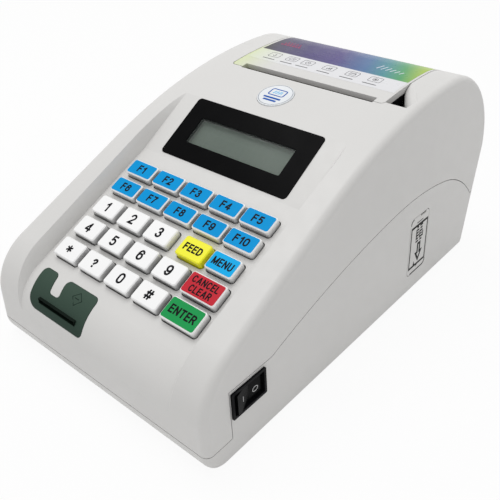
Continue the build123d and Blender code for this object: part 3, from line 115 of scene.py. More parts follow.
# ---------------------------------------------------------------- node materials
class Finish:
    """A material being built: one Principled shader and what feeds it."""

    def __init__(self, name, roughness=0.4, specular=0.5, metallic=0.0, coat=0.0):
        self.material = bpy.data.materials.new(name)
        self.material.use_nodes = True
        self.tree = self.material.node_tree
        self.shader = self.tree.nodes["Principled BSDF"]
        self.shader.inputs["Roughness"].default_value = roughness
        self.shader.inputs["Specular IOR Level"].default_value = specular
        self.shader.inputs["Metallic"].default_value = metallic
        self.shader.inputs["Coat Weight"].default_value = coat
        self.shader.inputs["Coat Roughness"].default_value = 0.12
        self.place = self.add("ShaderNodeTexCoord").outputs["Object"]

    def add(self, kind, **settings):
        made = self.tree.nodes.new(kind)
        for key, value in settings.items():
            setattr(made, key, value)
        return made

    def feed(self, socket, source):
        """Links a socket to an output, or sets it to a number or colour."""
        if isinstance(source, bpy.types.NodeSocket):
            self.tree.links.new(source, socket)
        else:
            socket.default_value = source

    def math(self, operation, a, b=0.0):
        made = self.add("ShaderNodeMath", operation=operation)
        self.feed(made.inputs[0], a)
        self.feed(made.inputs[1], b)
        return made.outputs[0]

    def spread(self, value, low, high, out_low=0.0, out_high=1.0):
        """Turns low to high into out_low to out_high, and holds still beyond them."""
        made = self.add("ShaderNodeMapRange")
        self.feed(made.inputs["Value"], value)
        self.feed(made.inputs["From Min"], low)
        self.feed(made.inputs["From Max"], high)
        self.feed(made.inputs["To Min"], out_low)
        self.feed(made.inputs["To Max"], out_high)
        return made.outputs[0]

    def noise(self, grain, detail=2.0, stretch=(1, 1, 1)):
        """Noise whose blobs are about grain metres across."""
        mapping = self.add("ShaderNodeMapping")
        self.feed(mapping.inputs["Vector"], self.place)
        mapping.inputs["Scale"].default_value = [s / grain for s in stretch]
        made = self.add("ShaderNodeTexNoise")
        self.feed(made.inputs["Vector"], mapping.outputs[0])
        made.inputs["Scale"].default_value = 1.0
        made.inputs["Detail"].default_value = detail
        return made.outputs["Fac"]

    def blend(self, share, a, b):
        made = self.add("ShaderNodeMix", data_type="RGBA")
        self.feed(made.inputs["Factor"], share)
        self.feed(made.inputs["A"], rgba(a))
        self.feed(made.inputs["B"], rgba(b))
        return made.outputs["Result"]

    def colour(self, source):
        self.feed(self.shader.inputs["Base Color"], rgba(source))

    def base_colour(self):
        """The output that feeds the colour so far."""
        return self.shader.inputs["Base Color"].links[0].from_socket

    def rough(self, source):
        self.feed(self.shader.inputs["Roughness"], source)

    def uneven_gloss(self, grain, low, high):
        """Roughness that wanders between two values over patches about grain metres across."""
        self.rough(self.spread(self.noise(grain), 0.3, 0.7, low, high))

    def bump(self, height, depth, strength=1.0):
        made = self.add("ShaderNodeBump")
        made.inputs["Strength"].default_value = strength
        made.inputs["Distance"].default_value = depth
        self.feed(made.inputs["Height"], height)
        self.feed(self.shader.inputs["Normal"], made.outputs["Normal"])

    def axis(self, name):
        """X, Y or Z of the point that is shaded."""
        parts = self.add("ShaderNodeSeparateXYZ")
        self.feed(parts.inputs[0], self.place)
        return parts.outputs[name]


def rgba(colour):
    return colour if isinstance(colour, bpy.types.NodeSocket) else (*colour, 1.0)


def shade(colour, factor):
    return tuple(min(1.0, c * factor) for c in colour)


def moulded(name, colour, roughness=0.42, grain=0.35 * MM, relief=0.012 * MM, mottle=0.03,
            specular=0.4, painted_shade=0.0):
    """Moulded plastic: fine spark-erosion grain, faint flow marks, uneven gloss.

    The last argument sets how far painted shade, found by ambient occlusion, darkens the corners and
    gaps."""
    f = Finish(name, roughness, specular)
    flow = f.noise(40 * MM, 3.0, (1, 0.5, 1))
    tone = f.blend(flow, shade(colour, 1 - mottle), shade(colour, 1 + mottle))
    # painted shade: ambient occlusion darkens corners and gaps towards a darker copy of the colour
    if painted_shade:
        open_sky = f.add("ShaderNodeAmbientOcclusion", samples=8)
        open_sky.inputs["Distance"].default_value = PAINTED_SHADE_REACH
        shaded_share = f.spread(open_sky.outputs["AO"], *PAINTED_SHADE_SKY, 0.0, painted_shade)
        tone = f.blend(shaded_share, tone, shade(colour, PAINTED_SHADE_FULL))
    f.colour(tone)
    f.uneven_gloss(6 * MM, roughness - 0.05, roughness + 0.06)
    f.bump(f.noise(grain, 3.0), relief)
    return f


def lid_plastic():
    """The lid's plastic, with the pale yellow-green cast at its front left corner and a little painted
    shade in its corners and gaps.
    """
    f = moulded("lid_plastic", CASE_GREY, painted_shade=0.06)
    left = f.spread(f.axis("X"), *CAST_X, 0.0, 0.8)
    front = f.spread(f.axis("Y"), *CAST_Y)
    share = f.math("MULTIPLY", f.math("POWER", left, 1.6), front)
    f.colour(f.blend(share, f.base_colour(), TINT))
    return f


def key_plastic(name):
    """White key plastic, with painted shade greying its sides below the tops and darkening its corners
    and gaps.
    """
    f = moulded(name, KEY_WHITE, 0.34, 0.4 * MM, 0.006 * MM, 0.015, painted_shade=0.75)
    # painted shade: the sides grey with distance below the key tops
    forward = f.math("MULTIPLY", f.axis("Y"), -math.sin(DECK_TILT))
    level = f.math("ADD", f.math("MULTIPLY", f.axis("Z"), math.cos(DECK_TILT)), forward)
    grey = f.spread(level, KEY_TOP - KEY_SIDE[0], KEY_TOP - KEY_SIDE[1], 0.0, 0.5)
    f.colour(f.blend(grey, f.base_colour(), shade(KEY_WHITE, 0.3)))
    return f


def insert_plastic():
    """Dark green, with painted light making it paler towards the top."""
    f = moulded("dark_green", INSERT_DEEP, 0.42, 0.4 * MM, 0.01 * MM, 0.08, 0.08)
    height = f.spread(f.axis("Z"), *INSERT_Z)
    f.colour(f.blend(height, f.base_colour(), INSERT_PAINTED_LIT))
    return f


def metal(name, colour, roughness=0.3, brushed=(1, 40, 40)):
    """Bare metal with drawing lines along X; equal values of brushed give an even grain."""
    f = Finish(name, roughness, 0.5, metallic=1.0)
    lines = f.noise(4 * MM, 4.0, brushed)
    f.colour(f.blend(lines, shade(colour, 0.88), shade(colour, 1.08)))
    f.rough(f.spread(lines, 0.3, 0.7, roughness - 0.07, roughness + 0.1))
    f.bump(lines, 0.01 * MM, 0.5)
    return f


def glossy(name, colour, roughness=0.18, specular=0.3, coat=0.0):
    """Polished plastic with a trace of orange peel and dulled handling marks."""
    f = Finish(name, roughness, specular, coat=coat)
    f.colour(f.blend(f.noise(15 * MM, 2.0), shade(colour, 0.9), shade(colour, 1.1)))
    f.rough(f.spread(f.noise(9 * MM, 4.0), 0.35, 0.75, roughness, roughness + 0.12))
    f.bump(f.noise(2.5 * MM, 1.0), 0.004 * MM, 0.6)
    return f


def rubber(name, colour):
    f = Finish(name, 0.75, 0.3)
    f.colour(f.blend(f.noise(5 * MM, 4.0), shade(colour, 0.8), shade(colour, 1.25)))
    f.bump(f.noise(0.4 * MM, 3.0), 0.03 * MM)
    return f


def ink(name, colour, roughness=0.4):
    """Screen-printed ink: slightly uneven cover."""
    f = Finish(name, roughness, 0.06)
    f.colour(f.blend(f.noise(1.2 * MM, 3.0), shade(colour, 0.92), shade(colour, 1.08)))
    f.bump(f.noise(0.25 * MM, 2.0), 0.004 * MM, 0.5)
    return f


def film(name, colour):
    """Printed polyester film on a key: satin, a little glossier where fingers polish it."""
    roughness = 0.36
    f = Finish(name, roughness, 0.04)
    f.colour(f.blend(f.noise(7 * MM, 2.0), shade(colour, 0.94), shade(colour, 1.07)))
    f.uneven_gloss(3 * MM, roughness - 0.06, roughness + 0.06)
    f.bump(f.noise(0.3 * MM, 2.0), 0.006 * MM, 0.6)
    return f


def circuit_board():
    """Green solder resist over a regular pattern of tracks."""
    f = Finish("solder_resist", 0.3, 0.5)
    tracks = f.add("ShaderNodeTexBrick")
    mapping = f.add("ShaderNodeMapping")
    f.feed(mapping.inputs["Vector"], f.place)
    mapping.inputs["Scale"].default_value = (1 / MM,) * 3
    f.feed(tracks.inputs["Vector"], mapping.outputs[0])
    tracks.inputs["Scale"].default_value = 0.35
    tracks.inputs["Mortar Size"].default_value = 0.03
    f.colour(f.blend(tracks.outputs["Fac"], (0.01, 0.11, 0.035), (0.03, 0.22, 0.07)))
    f.bump(tracks.outputs["Fac"], 0.03 * MM)
    return f


def paper():
    """Thermal paper, with the fine lines of its turns."""
    f = Finish("thermal_paper", 0.65, 0.3)
    turns = f.noise(0.12 * MM, 2.0, (0.05, 1, 1))
    f.colour(f.blend(turns, (0.78, 0.78, 0.76), (0.90, 0.90, 0.885)))
    f.bump(turns, 0.02 * MM)
    return f


def card_tube():
    f = Finish("card_tube", 0.8, 0.2)
    fibres = f.noise(1.5 * MM, 5.0, (0.2, 1, 1))
    f.colour(f.blend(fibres, (0.26, 0.16, 0.08), (0.42, 0.28, 0.16)))
    f.bump(fibres, 0.05 * MM)
    return f


def window_glass():
    """Smoked window: mostly clear, so the display shows through it."""
    f = Finish("smoked_window", 0.1, 0.12)
    f.colour(f.blend(f.noise(10 * MM), (0.05, 0.06, 0.055), (0.08, 0.09, 0.085)))
    f.shader.inputs["Alpha"].default_value = 0.34
    f.rough(f.spread(f.noise(4 * MM, 3.0), 0.3, 0.8, 0.1, 0.16))
    return f


def lcd_glass(face):
    """Grey-green display with the faint grid of its character cells."""
    f = Finish("display_glass", 0.4, 0.06)
    mapping = f.add("ShaderNodeMapping", vector_type="POINT")
    f.feed(mapping.inputs["Vector"], f.place)
    tilt = math.atan2(face.up.z, face.up.y)
    mapping.inputs["Rotation"].default_value = (-tilt, 0, 0)
    mapping.inputs["Scale"].default_value = (1 / MM,) * 3
    cells = f.add("ShaderNodeTexBrick", offset=0.0)
    f.feed(cells.inputs["Vector"], mapping.outputs[0])
    cells.inputs["Scale"].default_value = 1.0
    cells.inputs["Brick Width"].default_value = 3.4
    cells.inputs["Row Height"].default_value = 6.2
    cells.inputs["Mortar Size"].default_value = 0.28
    cells.inputs["Mortar Smooth"].default_value = 0.2
    f.colour(f.blend(cells.outputs["Fac"], (0.58, 0.71, 0.61), (0.63, 0.76, 0.66)))
    f.uneven_gloss(8 * MM, 0.38, 0.46)
    return f


def band_print():
    """The lid label: white in front, then a band from violet through blue to green."""
    f = Finish("lid_label", 0.3, 0.2)
    ramp = f.add("ShaderNodeValToRGB")
    elements = ramp.color_ramp.elements
    elements[0].color = rgba(BAND_STOPS[0][1])
    elements[1].color = rgba(BAND_STOPS[-1][1])
    for position, colour in BAND_STOPS[1:-1]:
        elements.new(position).color = rgba(colour)
    slant = f.math("MULTIPLY", f.axis("Y"), BAND_SLANT)
    along = f.math("ADD", f.axis("X"), f.math("SUBTRACT", slant, BAND_SLANT * BAND_EDGE))
    f.feed(ramp.inputs[0], f.spread(along, LABEL_X[0], LABEL_X[1] + 5 * MM))
    left = f.spread(f.axis("X"), *YELLOWED_X)
    strip = f.blend(f.math("POWER", left, 1.8), LABEL_WHITE, LABEL_YELLOWED)
    edge = f.spread(f.axis("Y"), BAND_EDGE - BAND_BLUR, BAND_EDGE + BAND_BLUR)
    f.colour(f.blend(edge, strip, ramp.outputs[0]))
    f.uneven_gloss(5 * MM, 0.26, 0.36)
    f.bump(f.noise(0.5 * MM, 2.0), 0.005 * MM, 0.5)
    return f


# ---------------------------------------------------------------- faces of the solids
X_AXIS = Vector((1, 0, 0))
Y_AXIS = Vector((0, 1, 0))


class Face:
    """A flat face of a CAD node: its centre, its axes and its size."""

    def __init__(self, centre, right, up, normal, width, height):
        self.centre, self.right, self.up, self.normal = centre, right, up, normal
        self.width, self.height = width, height

    def matrix(self, y, lift):
        """Lays a flat drawing on the face, moved up it by y and off it by lift."""
        at = self.centre + self.up * y + self.normal * lift
        columns = (self.right, self.up, self.normal)
        turn = Matrix([[c[i] for c in columns] for i in range(3)]).to_4x4()
        return Matrix.Translation(at) @ turn


def flat_face(node, towards, right=X_AXIS, within=12.0):
    """The largest flat face of a node that looks within some degrees of a direction."""
    mesh = frame["nodes"][node].data
    towards = Vector(towards).normalized()
    limit = math.cos(math.radians(within))
    groups = {}
    for p in mesh.polygons:
        if p.normal.dot(towards) < limit:
            continue
        key = tuple(round(c * SAME_NORMAL) for c in p.normal)
        groups.setdefault(key, []).append(p)
    best = max(groups.values(), key=lambda ps: sum(p.area for p in ps))
    normal = sum((p.normal * p.area for p in best), Vector()).normalized()
    crown = max(p.center.dot(normal) for p in best)
    best = [p for p in best if p.center.dot(normal) > crown - LEVEL]
    right = (right - normal * right.dot(normal)).normalized()
    up = normal.cross(right)
    points = [mesh.vertices[i].co for p in best for i in p.vertices]
    spans = []
    for axis in (right, up, normal):
        reach = [q.dot(axis) for q in points]
        spans.append((min(reach), max(reach)))
    middle = [(a + b) / 2 for a, b in spans]
    centre = right * middle[0] + up * middle[1] + normal * spans[2][1]
    return Face(centre, right, up, normal, spans[0][1] - spans[0][0], spans[1][1] - spans[1][0])


def solid_tree(node):
    mesh = frame["nodes"][node].data
    return BVHTree.FromPolygons([v.co for v in mesh.vertices], [p.vertices for p in mesh.polygons])


# ---------------------------------------------------------------- thin pieces
def finish_piece(name, bm, finish, body, matrix=None):
    """Turns the mesh into a piece of the scene that rides on a body."""
    bmesh.ops.recalc_face_normals(bm, faces=bm.faces[:])
    mesh = bpy.data.meshes.new(name)
    bm.to_mesh(mesh)
    bm.free()
    if matrix is not None:
        mesh.transform(matrix)
    mesh.materials.append(finish.material)
    piece = bpy.data.objects.new(name, mesh)
    bpy.context.collection.objects.link(piece)
    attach(piece, body)


def thicken(bm, depth):
    """Turns flat faces at z=0 into closed solids that reach up to depth."""
    made = bmesh.ops.extrude_face_region(bm, geom=bm.faces[:])
    moved = [g for g in made["geom"] if isinstance(g, bmesh.types.BMVert)]
    bmesh.ops.translate(bm, verts=moved, vec=(0, 0, depth))


def mm(*points):
    """Points given in millimetres."""
    return [(x * MM, y * MM) for x, y in points]


def rounded_outline(width, height, radius, steps=5):
    """Rounded rectangle around the origin, anticlockwise from the right end of its top."""
    points = []
    for corner in range(4):
        turn = corner * math.pi / 2
        sx = 1 if corner in (0, 3) else -1
        sy = 1 if corner < 2 else -1
        for i in range(steps + 1):
            angle = turn + i * math.pi / 2 / steps
            x = sx * (width / 2 - radius) + radius * math.cos(angle)
            y = sy * (height / 2 - radius) + radius * math.sin(angle)
            points.append((x, y))
    return points


def circle(radius, steps=28, x=0.0, y=0.0):
    angles = [2 * math.pi * i / steps for i in range(steps)]
    return [(x + radius * math.cos(a), y + radius * math.sin(a)) for a in angles]


def add_fill(bm, points):
    bm.faces.new([bm.verts.new((x, y, 0)) for x, y in points])


def add_stroke(bm, points, width, closed=False):
    """A line of even width with mitred corners."""
    count = len(points)
    rows = []
    for i, p in enumerate(points):
        before = points[i - 1] if i or closed else None
        after = points[(i + 1) % count] if i < count - 1 or closed else None
        here = Vector(p)
        a = (here - Vector(before)).normalized() if before else None
        b = (Vector(after) - here).normalized() if after else None
        a, b = a or b, b or a
        along = (a + b).normalized()
        side = Vector((-along.y, along.x))
        reach = width / 2 / max(MITRE_LIMIT, side.dot(Vector((-a.y, a.x))))
        rows.append([bm.verts.new((*(here + side * reach * s), 0)) for s in (1, -1)])
    for i in range(count if closed else count - 1):
        a, b = rows[i], rows[(i + 1) % count]
        bm.faces.new((a[0], a[1], b[1], b[0]))


def flat_piece(name, draw, face, finish, body, depth=INK, y=0.0, lift=HAIR):
    """A drawing laid on a flat face."""
    bm = bmesh.new()
    draw(bm)
    thicken(bm, depth)
    finish_piece(name, bm, finish, body, face.matrix(y, lift))


def draped_piece(name, draw, tree, finish, body, lift, depth=INK):
    """A plan drawing laid on a solid that is straight below it."""
    bm = bmesh.new()
    draw(bm)
    thicken(bm, depth)
    for v in bm.verts:
        found = tree.ray_cast(Vector((v.co.x, v.co.y, RAY_START)), Vector((0, 0, -1)))[0]
        v.co.z += found.z + lift
    finish_piece(name, bm, finish, body)


def arc(x, y, rx, ry, start, end, steps=10):
    """Points along an elliptical arc; degrees, anticlockwise when end is above start."""
    angles = [math.radians(start + (end - start) * i / steps) for i in range(steps + 1)]
    return [(x + rx * math.cos(a), y + ry * math.sin(a)) for a in angles]


def loop(x, y, rx, ry):
    """Points of a closed ellipse."""
    return arc(x, y, rx, ry, 0, 345, 23)


# Centre lines of the characters, one unit high: width, then strokes of (points, closed).
GLYPHS = {
    "0": (0.54, [(arc(0.27, 0.70, 0.27, 0.30, 0, 180) + arc(0.27, 0.30, 0.27, 0.30, 180, 360), True)]),
    "1": (0.32, [([(0.30, 1.0), (0.30, 0.0)], False),
                 ([(0.04, 0.74), (0.18, 0.84), (0.26, 0.97)], False)]),
    "2": (0.54, [(arc(0.27, 0.72, 0.26, 0.28, 168, -35) + [(0.02, 0.0), (0.54, 0.0)], False)]),
    "3": (0.54, [(arc(0.26, 0.76, 0.22, 0.24, 160, -90), False),
                 (arc(0.26, 0.27, 0.26, 0.27, 90, -162), False)]),
    "4": (0.58, [([(0.42, 0.0), (0.42, 1.0)], False), ([(0.40, 0.98), (0.02, 0.34)], False),
                 ([(0.0, 0.27), (0.58, 0.27)], False)]),
    "5": (0.54, [([(0.50, 1.0), (0.10, 1.0), (0.05, 0.52)], False),
                 (arc(0.25, 0.32, 0.28, 0.32, 125, -142), False)]),
    "6": (0.54, [(loop(0.27, 0.31, 0.26, 0.31), True),
                 (arc(0.29, 0.55, 0.28, 0.45, 30, 190), False)]),
    "7": (0.54, [([(0.0, 1.0), (0.54, 1.0)], False),
                 ([(0.52, 0.97), (0.30, 0.55), (0.17, 0.0)], False)]),
    "8": (0.54, [(loop(0.27, 0.76, 0.21, 0.24), True), (loop(0.27, 0.27, 0.26, 0.27), True)]),
    "9": (0.54, [(loop(0.27, 0.69, 0.26, 0.31), True),
                 (arc(0.25, 0.45, 0.28, 0.45, -150, 10), False)]),
    "A": (0.70, [([(0.02, 0.0), (0.34, 1.0)], False), ([(0.68, 0.0), (0.36, 1.0)], False),
                 ([(0.16, 0.30), (0.54, 0.30)], False)]),
    "C": (0.62, [(arc(0.33, 0.5, 0.33, 0.5, 42, 318, 14), False)]),
    "D": (0.60, [([(0.0, 0.0), (0.0, 1.0), (0.24, 1.0)] + arc(0.26, 0.5, 0.34, 0.5, 80, -80)
                  + [(0.24, 0.0)], True)]),
    "E": (0.50, [([(0.50, 1.0), (0.0, 1.0), (0.0, 0.0), (0.50, 0.0)], False),
                 ([(0.0, 0.52), (0.46, 0.52)], False)]),
    "F": (0.48, [([(0.48, 1.0), (0.0, 1.0), (0.0, 0.0)], False),
                 ([(0.0, 0.52), (0.42, 0.52)], False)]),
    "L": (0.46, [([(0.0, 1.0), (0.0, 0.0), (0.46, 0.0)], False)]),
    "M": (0.78, [([(0.0, 0.0), (0.0, 1.0)], False), ([(0.78, 0.0), (0.78, 1.0)], False),
                 ([(0.03, 0.97), (0.38, 0.06)], False), ([(0.75, 0.97), (0.40, 0.06)], False)]),
    "N": (0.60, [([(0.0, 0.0), (0.0, 1.0)], False), ([(0.60, 0.0), (0.60, 1.0)], False),
                 ([(0.04, 0.95), (0.56, 0.05)], False)]),
    "R": (0.58, [([(0.0, 0.0), (0.0, 1.0), (0.28, 1.0)] + arc(0.30, 0.74, 0.24, 0.26, 80, -80)
                  + [(0.0, 0.48)], False), ([(0.30, 0.48), (0.58, 0.0)], False)]),
    "T": (0.58, [([(0.0, 1.0), (0.58, 1.0)], False), ([(0.29, 1.0), (0.29, 0.0)], False)]),
    "U": (0.58, [([(0.0, 1.0)] + arc(0.29, 0.29, 0.29, 0.29, 180, 360) + [(0.58, 1.0)], False)]),
    "?": (0.50, [(arc(0.25, 0.75, 0.25, 0.25, 170, -40, 12) + [(0.26, 0.44), (0.25, 0.36)], False),
                 ([(0.25, -0.01), (0.25, -0.05)], False)]),
    "#": (0.84, [([(0.18, 0.0), (0.30, 1.0)], False), ([(0.54, 0.0), (0.66, 1.0)], False),
                 ([(0.02, 0.28), (0.76, 0.28)], False), ([(0.08, 0.72), (0.82, 0.72)], False)]),
    "*": (0.80, [([(0.4 - 0.45 * math.cos(a), 0.5 - 0.45 * math.sin(a)),
                   (0.4 + 0.45 * math.cos(a), 0.5 + 0.45 * math.sin(a))], False)
                 for a in (math.pi / 2, math.pi / 6, -math.pi / 6)]),
}
LETTER_GAP = 0.36          # between the centre lines of neighbours, in character heights
CAP = 0.4                  # open strokes run on past their ends by this share of their width
LAYER_STEP = 0.2           # crossing strokes differ in thickness by this share of the ink's
LAYERS = 4


def capped(points, reach):
    """An open line drawn on past both its ends."""
    first, second, before, last = (Vector(points[i]) for i in (0, 1, -2, -1))
    start = first + (first - second).normalized() * reach
    end = last + (last - before).normalized() * reach
    return [tuple(start), *points[1:-1], tuple(end)]


def lettering(name, text, face, size, body, y, lift):
    """Key legend, centred on a face; size is height, stroke's share of it, and stretch."""
    height, weight, stretch = size
    stroke = height * weight
    tall = height - stroke
    run = sum(GLYPHS[c][0] for c in text) + LETTER_GAP * (len(text) - 1)
    bm = bmesh.new()
    x = -run / 2
    layer = 0
    for c in text:
        width, strokes = GLYPHS[c]
        for points, closed in strokes:
            part = bmesh.new()
            line = [((x + px) * tall * stretch, (py - 0.5) * tall) for px, py in points]
            add_stroke(part, line if closed else capped(line, stroke * CAP), stroke, closed)
            thicken(part, INK * (1 + LAYER_STEP * layer))
            layer = (layer + 1) % LAYERS
            joined = bpy.data.meshes.new(name)
            part.to_mesh(joined)
            part.free()
            bm.from_mesh(joined)
            bpy.data.meshes.remove(joined)
        x += width + LETTER_GAP
    finish_piece(name, bm, LEGEND, body, face.matrix(y, lift))


# ---------------------------------------------------------------- the finishes
FINISHES = {
    # the case carries painted shade in its corners, seams and gaps
    "case": moulded("case_plastic", CASE_GREY, painted_shade=0.25),
    "lid": lid_plastic(),
    "key_white": key_plastic("key_white"),
    "key_blue": key_plastic("key_blue_rim"),
    "key_red": key_plastic("key_red_rim"),
    "key_green": key_plastic("key_green_rim"),
    "key_yellow": moulded("key_yellow", YELLOW, 0.34, 0.4 * MM, 0.006 * MM, 0.015),
    "gloss_black": glossy("gloss_black", (0.003, 0.003, 0.0033), 0.2, 0.02),
    "black_plastic": moulded("black_plastic", (0.005, 0.005, 0.006), 0.5, 0.4 * MM, 0.02 * MM,
                             0.1, 0.06),
    "window": window_glass(),
    "module": lcd_glass(flat_face("lcd_module", MODULE_NORMAL)),
    "badge": glossy("badge_resin", (0.80, 0.83, 0.86), 0.1, 0.5, coat=0.6),
    "dark_green": insert_plastic(),
    "rubber": rubber("rubber", (0.02, 0.02, 0.02)),
    "silicone": rubber("silicone", (0.12, 0.12, 0.125)),
    "steel": metal("drawn_steel", (0.55, 0.55, 0.57)),
    "black_steel": metal("blackened_steel", (0.05, 0.05, 0.05), 0.4),
    "zinc_plate": metal("zinc_plate", (0.60, 0.62, 0.64), 0.35, (8, 8, 8)),
    "brass": metal("brass", (0.70, 0.48, 0.17)),
    "gear_plastic": moulded("acetal", (0.78, 0.76, 0.68), 0.35),
    "head_ceramic": glossy("head_ceramic", (0.24, 0.13, 0.08), 0.2, 0.5),
    "circuit_board": circuit_board(),
    "battery_wrap": glossy("battery_wrap", (0.02, 0.06, 0.25), 0.25, 0.5),
    "paper": paper(),
    "card_core": card_tube(),
}
LEGEND = ink("legend_ink", LEGEND_BLACK)
SLOTS = {s["node"]: s["material_slot"] for s in frame["record"]["subparts"]}


def dress_nodes():
    """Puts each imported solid's material in its slots."""
    for name, node in frame["nodes"].items():
        material = FINISHES[SLOTS[name]].material
        if not node.material_slots:
            node.data.materials.append(material)
        for s in node.material_slots:
            s.material = material


# ---------------------------------------------------------------- keys
DECK_NORMAL = (0, -math.sin(DECK_TILT), math.cos(DECK_TILT))
FILMS = {
    "key_blue": film("film_blue", BLUE),
    "key_red": film("film_red", RED),
    "key_green": film("film_green", GREEN),
}
MENU_FILM = film("film_menu", MENU_BLUE)
WORDS = {"star": "*", "query": "?", "hash": "#", "feed": "FEED", "menu": "MENU", "enter": "ENTER"}
LEGEND_SIZES = {         # height, stroke's share of it, horizontal stretch
    "function": (4.0 * MM, 0.19, 1.05),
    "digit": (5.2 * MM, 0.18, 1.05),
    "hash": (4.8 * MM, 0.18, 1.0),
    "star": (4.2 * MM, 0.2, 1.0),
    "query": (4.3 * MM, 0.23, 1.05),
    "feed": (3.7 * MM, 0.20, 0.98),
    "menu": (3.8 * MM, 0.18, 0.89),
    "enter": (3.9 * MM, 0.19, 0.98),
    "cancel": (3.3 * MM, 0.18, 0.93),
}
CANCEL_ROWS = (("CANCEL", 2.05 * MM), ("CLEAR", -2.05 * MM))


def dress_keys():
    """Coloured films and legends."""
    for node in frame["nodes"]:
        if not node.startswith("key_"):
            continue
        key = node.removeprefix("key_")
        body, slot_name = "button_" + key, SLOTS[node]
        face = flat_face(node, DECK_NORMAL)
        lift = HAIR
        if slot_name in FILMS:
            outline = rounded_outline(face.width - 2 * INSET, face.height - 2 * INSET, FILM_CORNER)
            finish = MENU_FILM if key == "menu" else FILMS[slot_name]
            flat_piece("film_" + key, lambda bm: add_fill(bm, outline), face, finish, body,
                       FILM)
            lift = HAIR + FILM
        if key == "cancel":
            for text, y in CANCEL_ROWS:
                lettering("legend_" + text.lower(), text, face, LEGEND_SIZES[key], body,
                          y, lift)
            continue
        kind = "function" if key[0] == "f" and key != "feed" else key
        size = LEGEND_SIZES.get(kind, LEGEND_SIZES["digit"])
        lettering("legend_" + key, WORDS.get(key, key.upper()), face, size, body, 0.0, lift)


# ---------------------------------------------------------------- lid label
ICON_X = [x * MM for x in (-31.4, -20.1, -10.2, 2.9, 16.5, 29.4)]
ICON_Y = 47.0 * MM
ICON_SIZE = (6.6 * MM, 5.2 * MM)
CAPTION_Y = 41.6 * MM
CAPTION_SIZE = (7.6 * MM, 0.6 * MM)
CAPTION_SHIFT = 0.4 * MM   # to the left of its pictogram
LINE = 0.28 * MM
LID_TREE = solid_tree("printer_lid")


def label_grid(bm):
    """The printed sheet, in cells small enough to bend over the lid."""
    columns, rows = 12, 28
    grid = []
    for j in range(rows + 1):
        y = LABEL_Y[0] + (LABEL_Y[1] - LABEL_Y[0]) * j / rows
        grid.append([bm.verts.new((LABEL_X[0] + (LABEL_X[1] - LABEL_X[0]) * i / columns, y, 0))
                     for i in range(columns + 1)])
    for j in range(rows):
        for i in range(columns):
            bm.faces.new((grid[j][i], grid[j][i + 1], grid[j + 1][i + 1], grid[j + 1][i]))


def shift_points(points, x, y):
    return [(px + x, py + y) for px, py in points]


def icon(bm, index, x, y):
    """One of six plain pictograms in a rounded frame."""
    w, h = ICON_SIZE
    add_stroke(bm, shift_points(rounded_outline(w, h, 0.9 * MM, 3), x, y), LINE, True)
    u = h / 6
    if index == 0:                                     # feed arrow
        add_stroke(bm, [(x, y + 1.6 * u), (x, y - 0.6 * u)], LINE)
        add_stroke(bm, [(x - 1.3 * u, y - 0.4 * u), (x, y - 1.7 * u), (x + 1.3 * u, y - 0.4 * u)],
                   LINE)
    elif index == 1:                                   # ticket
        add_stroke(bm, shift_points(rounded_outline(4 * u, 2.4 * u, 0.4 * u, 2), x, y), LINE, True)
        add_stroke(bm, [(x + 0.8 * u, y - 0.9 * u), (x + 0.8 * u, y + 0.9 * u)], LINE)
    elif index == 2:                                   # clock
        add_stroke(bm, circle(1.6 * u, 16, x, y), LINE, True)
        add_stroke(bm, [(x, y + 1.0 * u), (x, y), (x + 0.8 * u, y)], LINE)
    elif index == 3:                                   # bars
        for k, size in enumerate((1.0, 1.9, 2.8)):
            x0, x1 = x + (k - 1.3) * 1.2 * u, x + (k - 0.7) * 1.2 * u
            y0, y1 = y - 1.4 * u, y + (size - 1.4) * u
            add_fill(bm, [(x0, y0), (x1, y0), (x1, y1), (x0, y1)])
    elif index == 4:                                   # card
        add_stroke(bm, shift_points(rounded_outline(3.8 * u, 2.6 * u, 0.4 * u, 2), x, y), LINE, True)
        add_stroke(bm, [(x - 1.9 * u, y + 0.5 * u), (x + 1.9 * u, y + 0.5 * u)], LINE)
    else:                                              # filled dot with a ring
        add_fill(bm, circle(0.7 * u, 12, x, y))
        add_stroke(bm, circle(1.5 * u, 16, x, y), LINE, True)


def dress_lid():
    """The label's sheet, its row of pictograms and the marks on its band."""
    def print_on_lid(name, draw, finish, lift=HAIR + FILM + HAIR, depth=INK):
        draped_piece(name, draw, LID_TREE, finish, "lid", lift, depth)

    print_on_lid("lid_label", label_grid, band_print(), HAIR, FILM)
    grey_ink = ink("label_ink", (0.10, 0.10, 0.11))
    for i, x in enumerate(ICON_X):
        print_on_lid(f"pictogram_{i + 1}", lambda bm: icon(bm, i, x, ICON_Y), grey_ink)
        w, h = CAPTION_SIZE
        bar = shift_points(rounded_outline(w, h, h / 3, 2), x - CAPTION_SHIFT, CAPTION_Y)
        print_on_lid(f"caption_bar_{i + 1}", lambda bm: add_fill(bm, bar), grey_ink)

    def dots(bm):
        for row in range(3):
            for column in range(7 - row):
                x = (-39 + 1.9 * column + 0.95 * row) * MM
                add_fill(bm, circle((0.75 - 0.12 * row) * MM, 12, x, (62.5 + 2.2 * row) * MM))

    def slashes(bm):
        for k in range(6):
            x, y = (22 + 2.6 * k) * MM, (60.0 - 0.2 * k) * MM
            lean, tall = 1.4 * MM, (5.2 - 0.5 * k) * MM
            add_stroke(bm, [(x, y), (x + lean, y + tall)], 0.55 * MM)

    def rules(bm):
        for k in range(4):
            y = (57.0 + 2.6 * k) * MM
            add_stroke(bm, [((-19 + 2 * k) * MM, y), ((8 - 3 * k) * MM, y)], 0.4 * MM)

    print_on_lid("band_dots", dots, ink("rose_ink", (0.42, 0.06, 0.14)))
    print_on_lid("band_slashes", slashes, ink("band_ink", (0.80, 0.80, 0.90)))
    print_on_lid("band_rules", rules, ink("faint_ink", (0.16, 0.13, 0.30)))


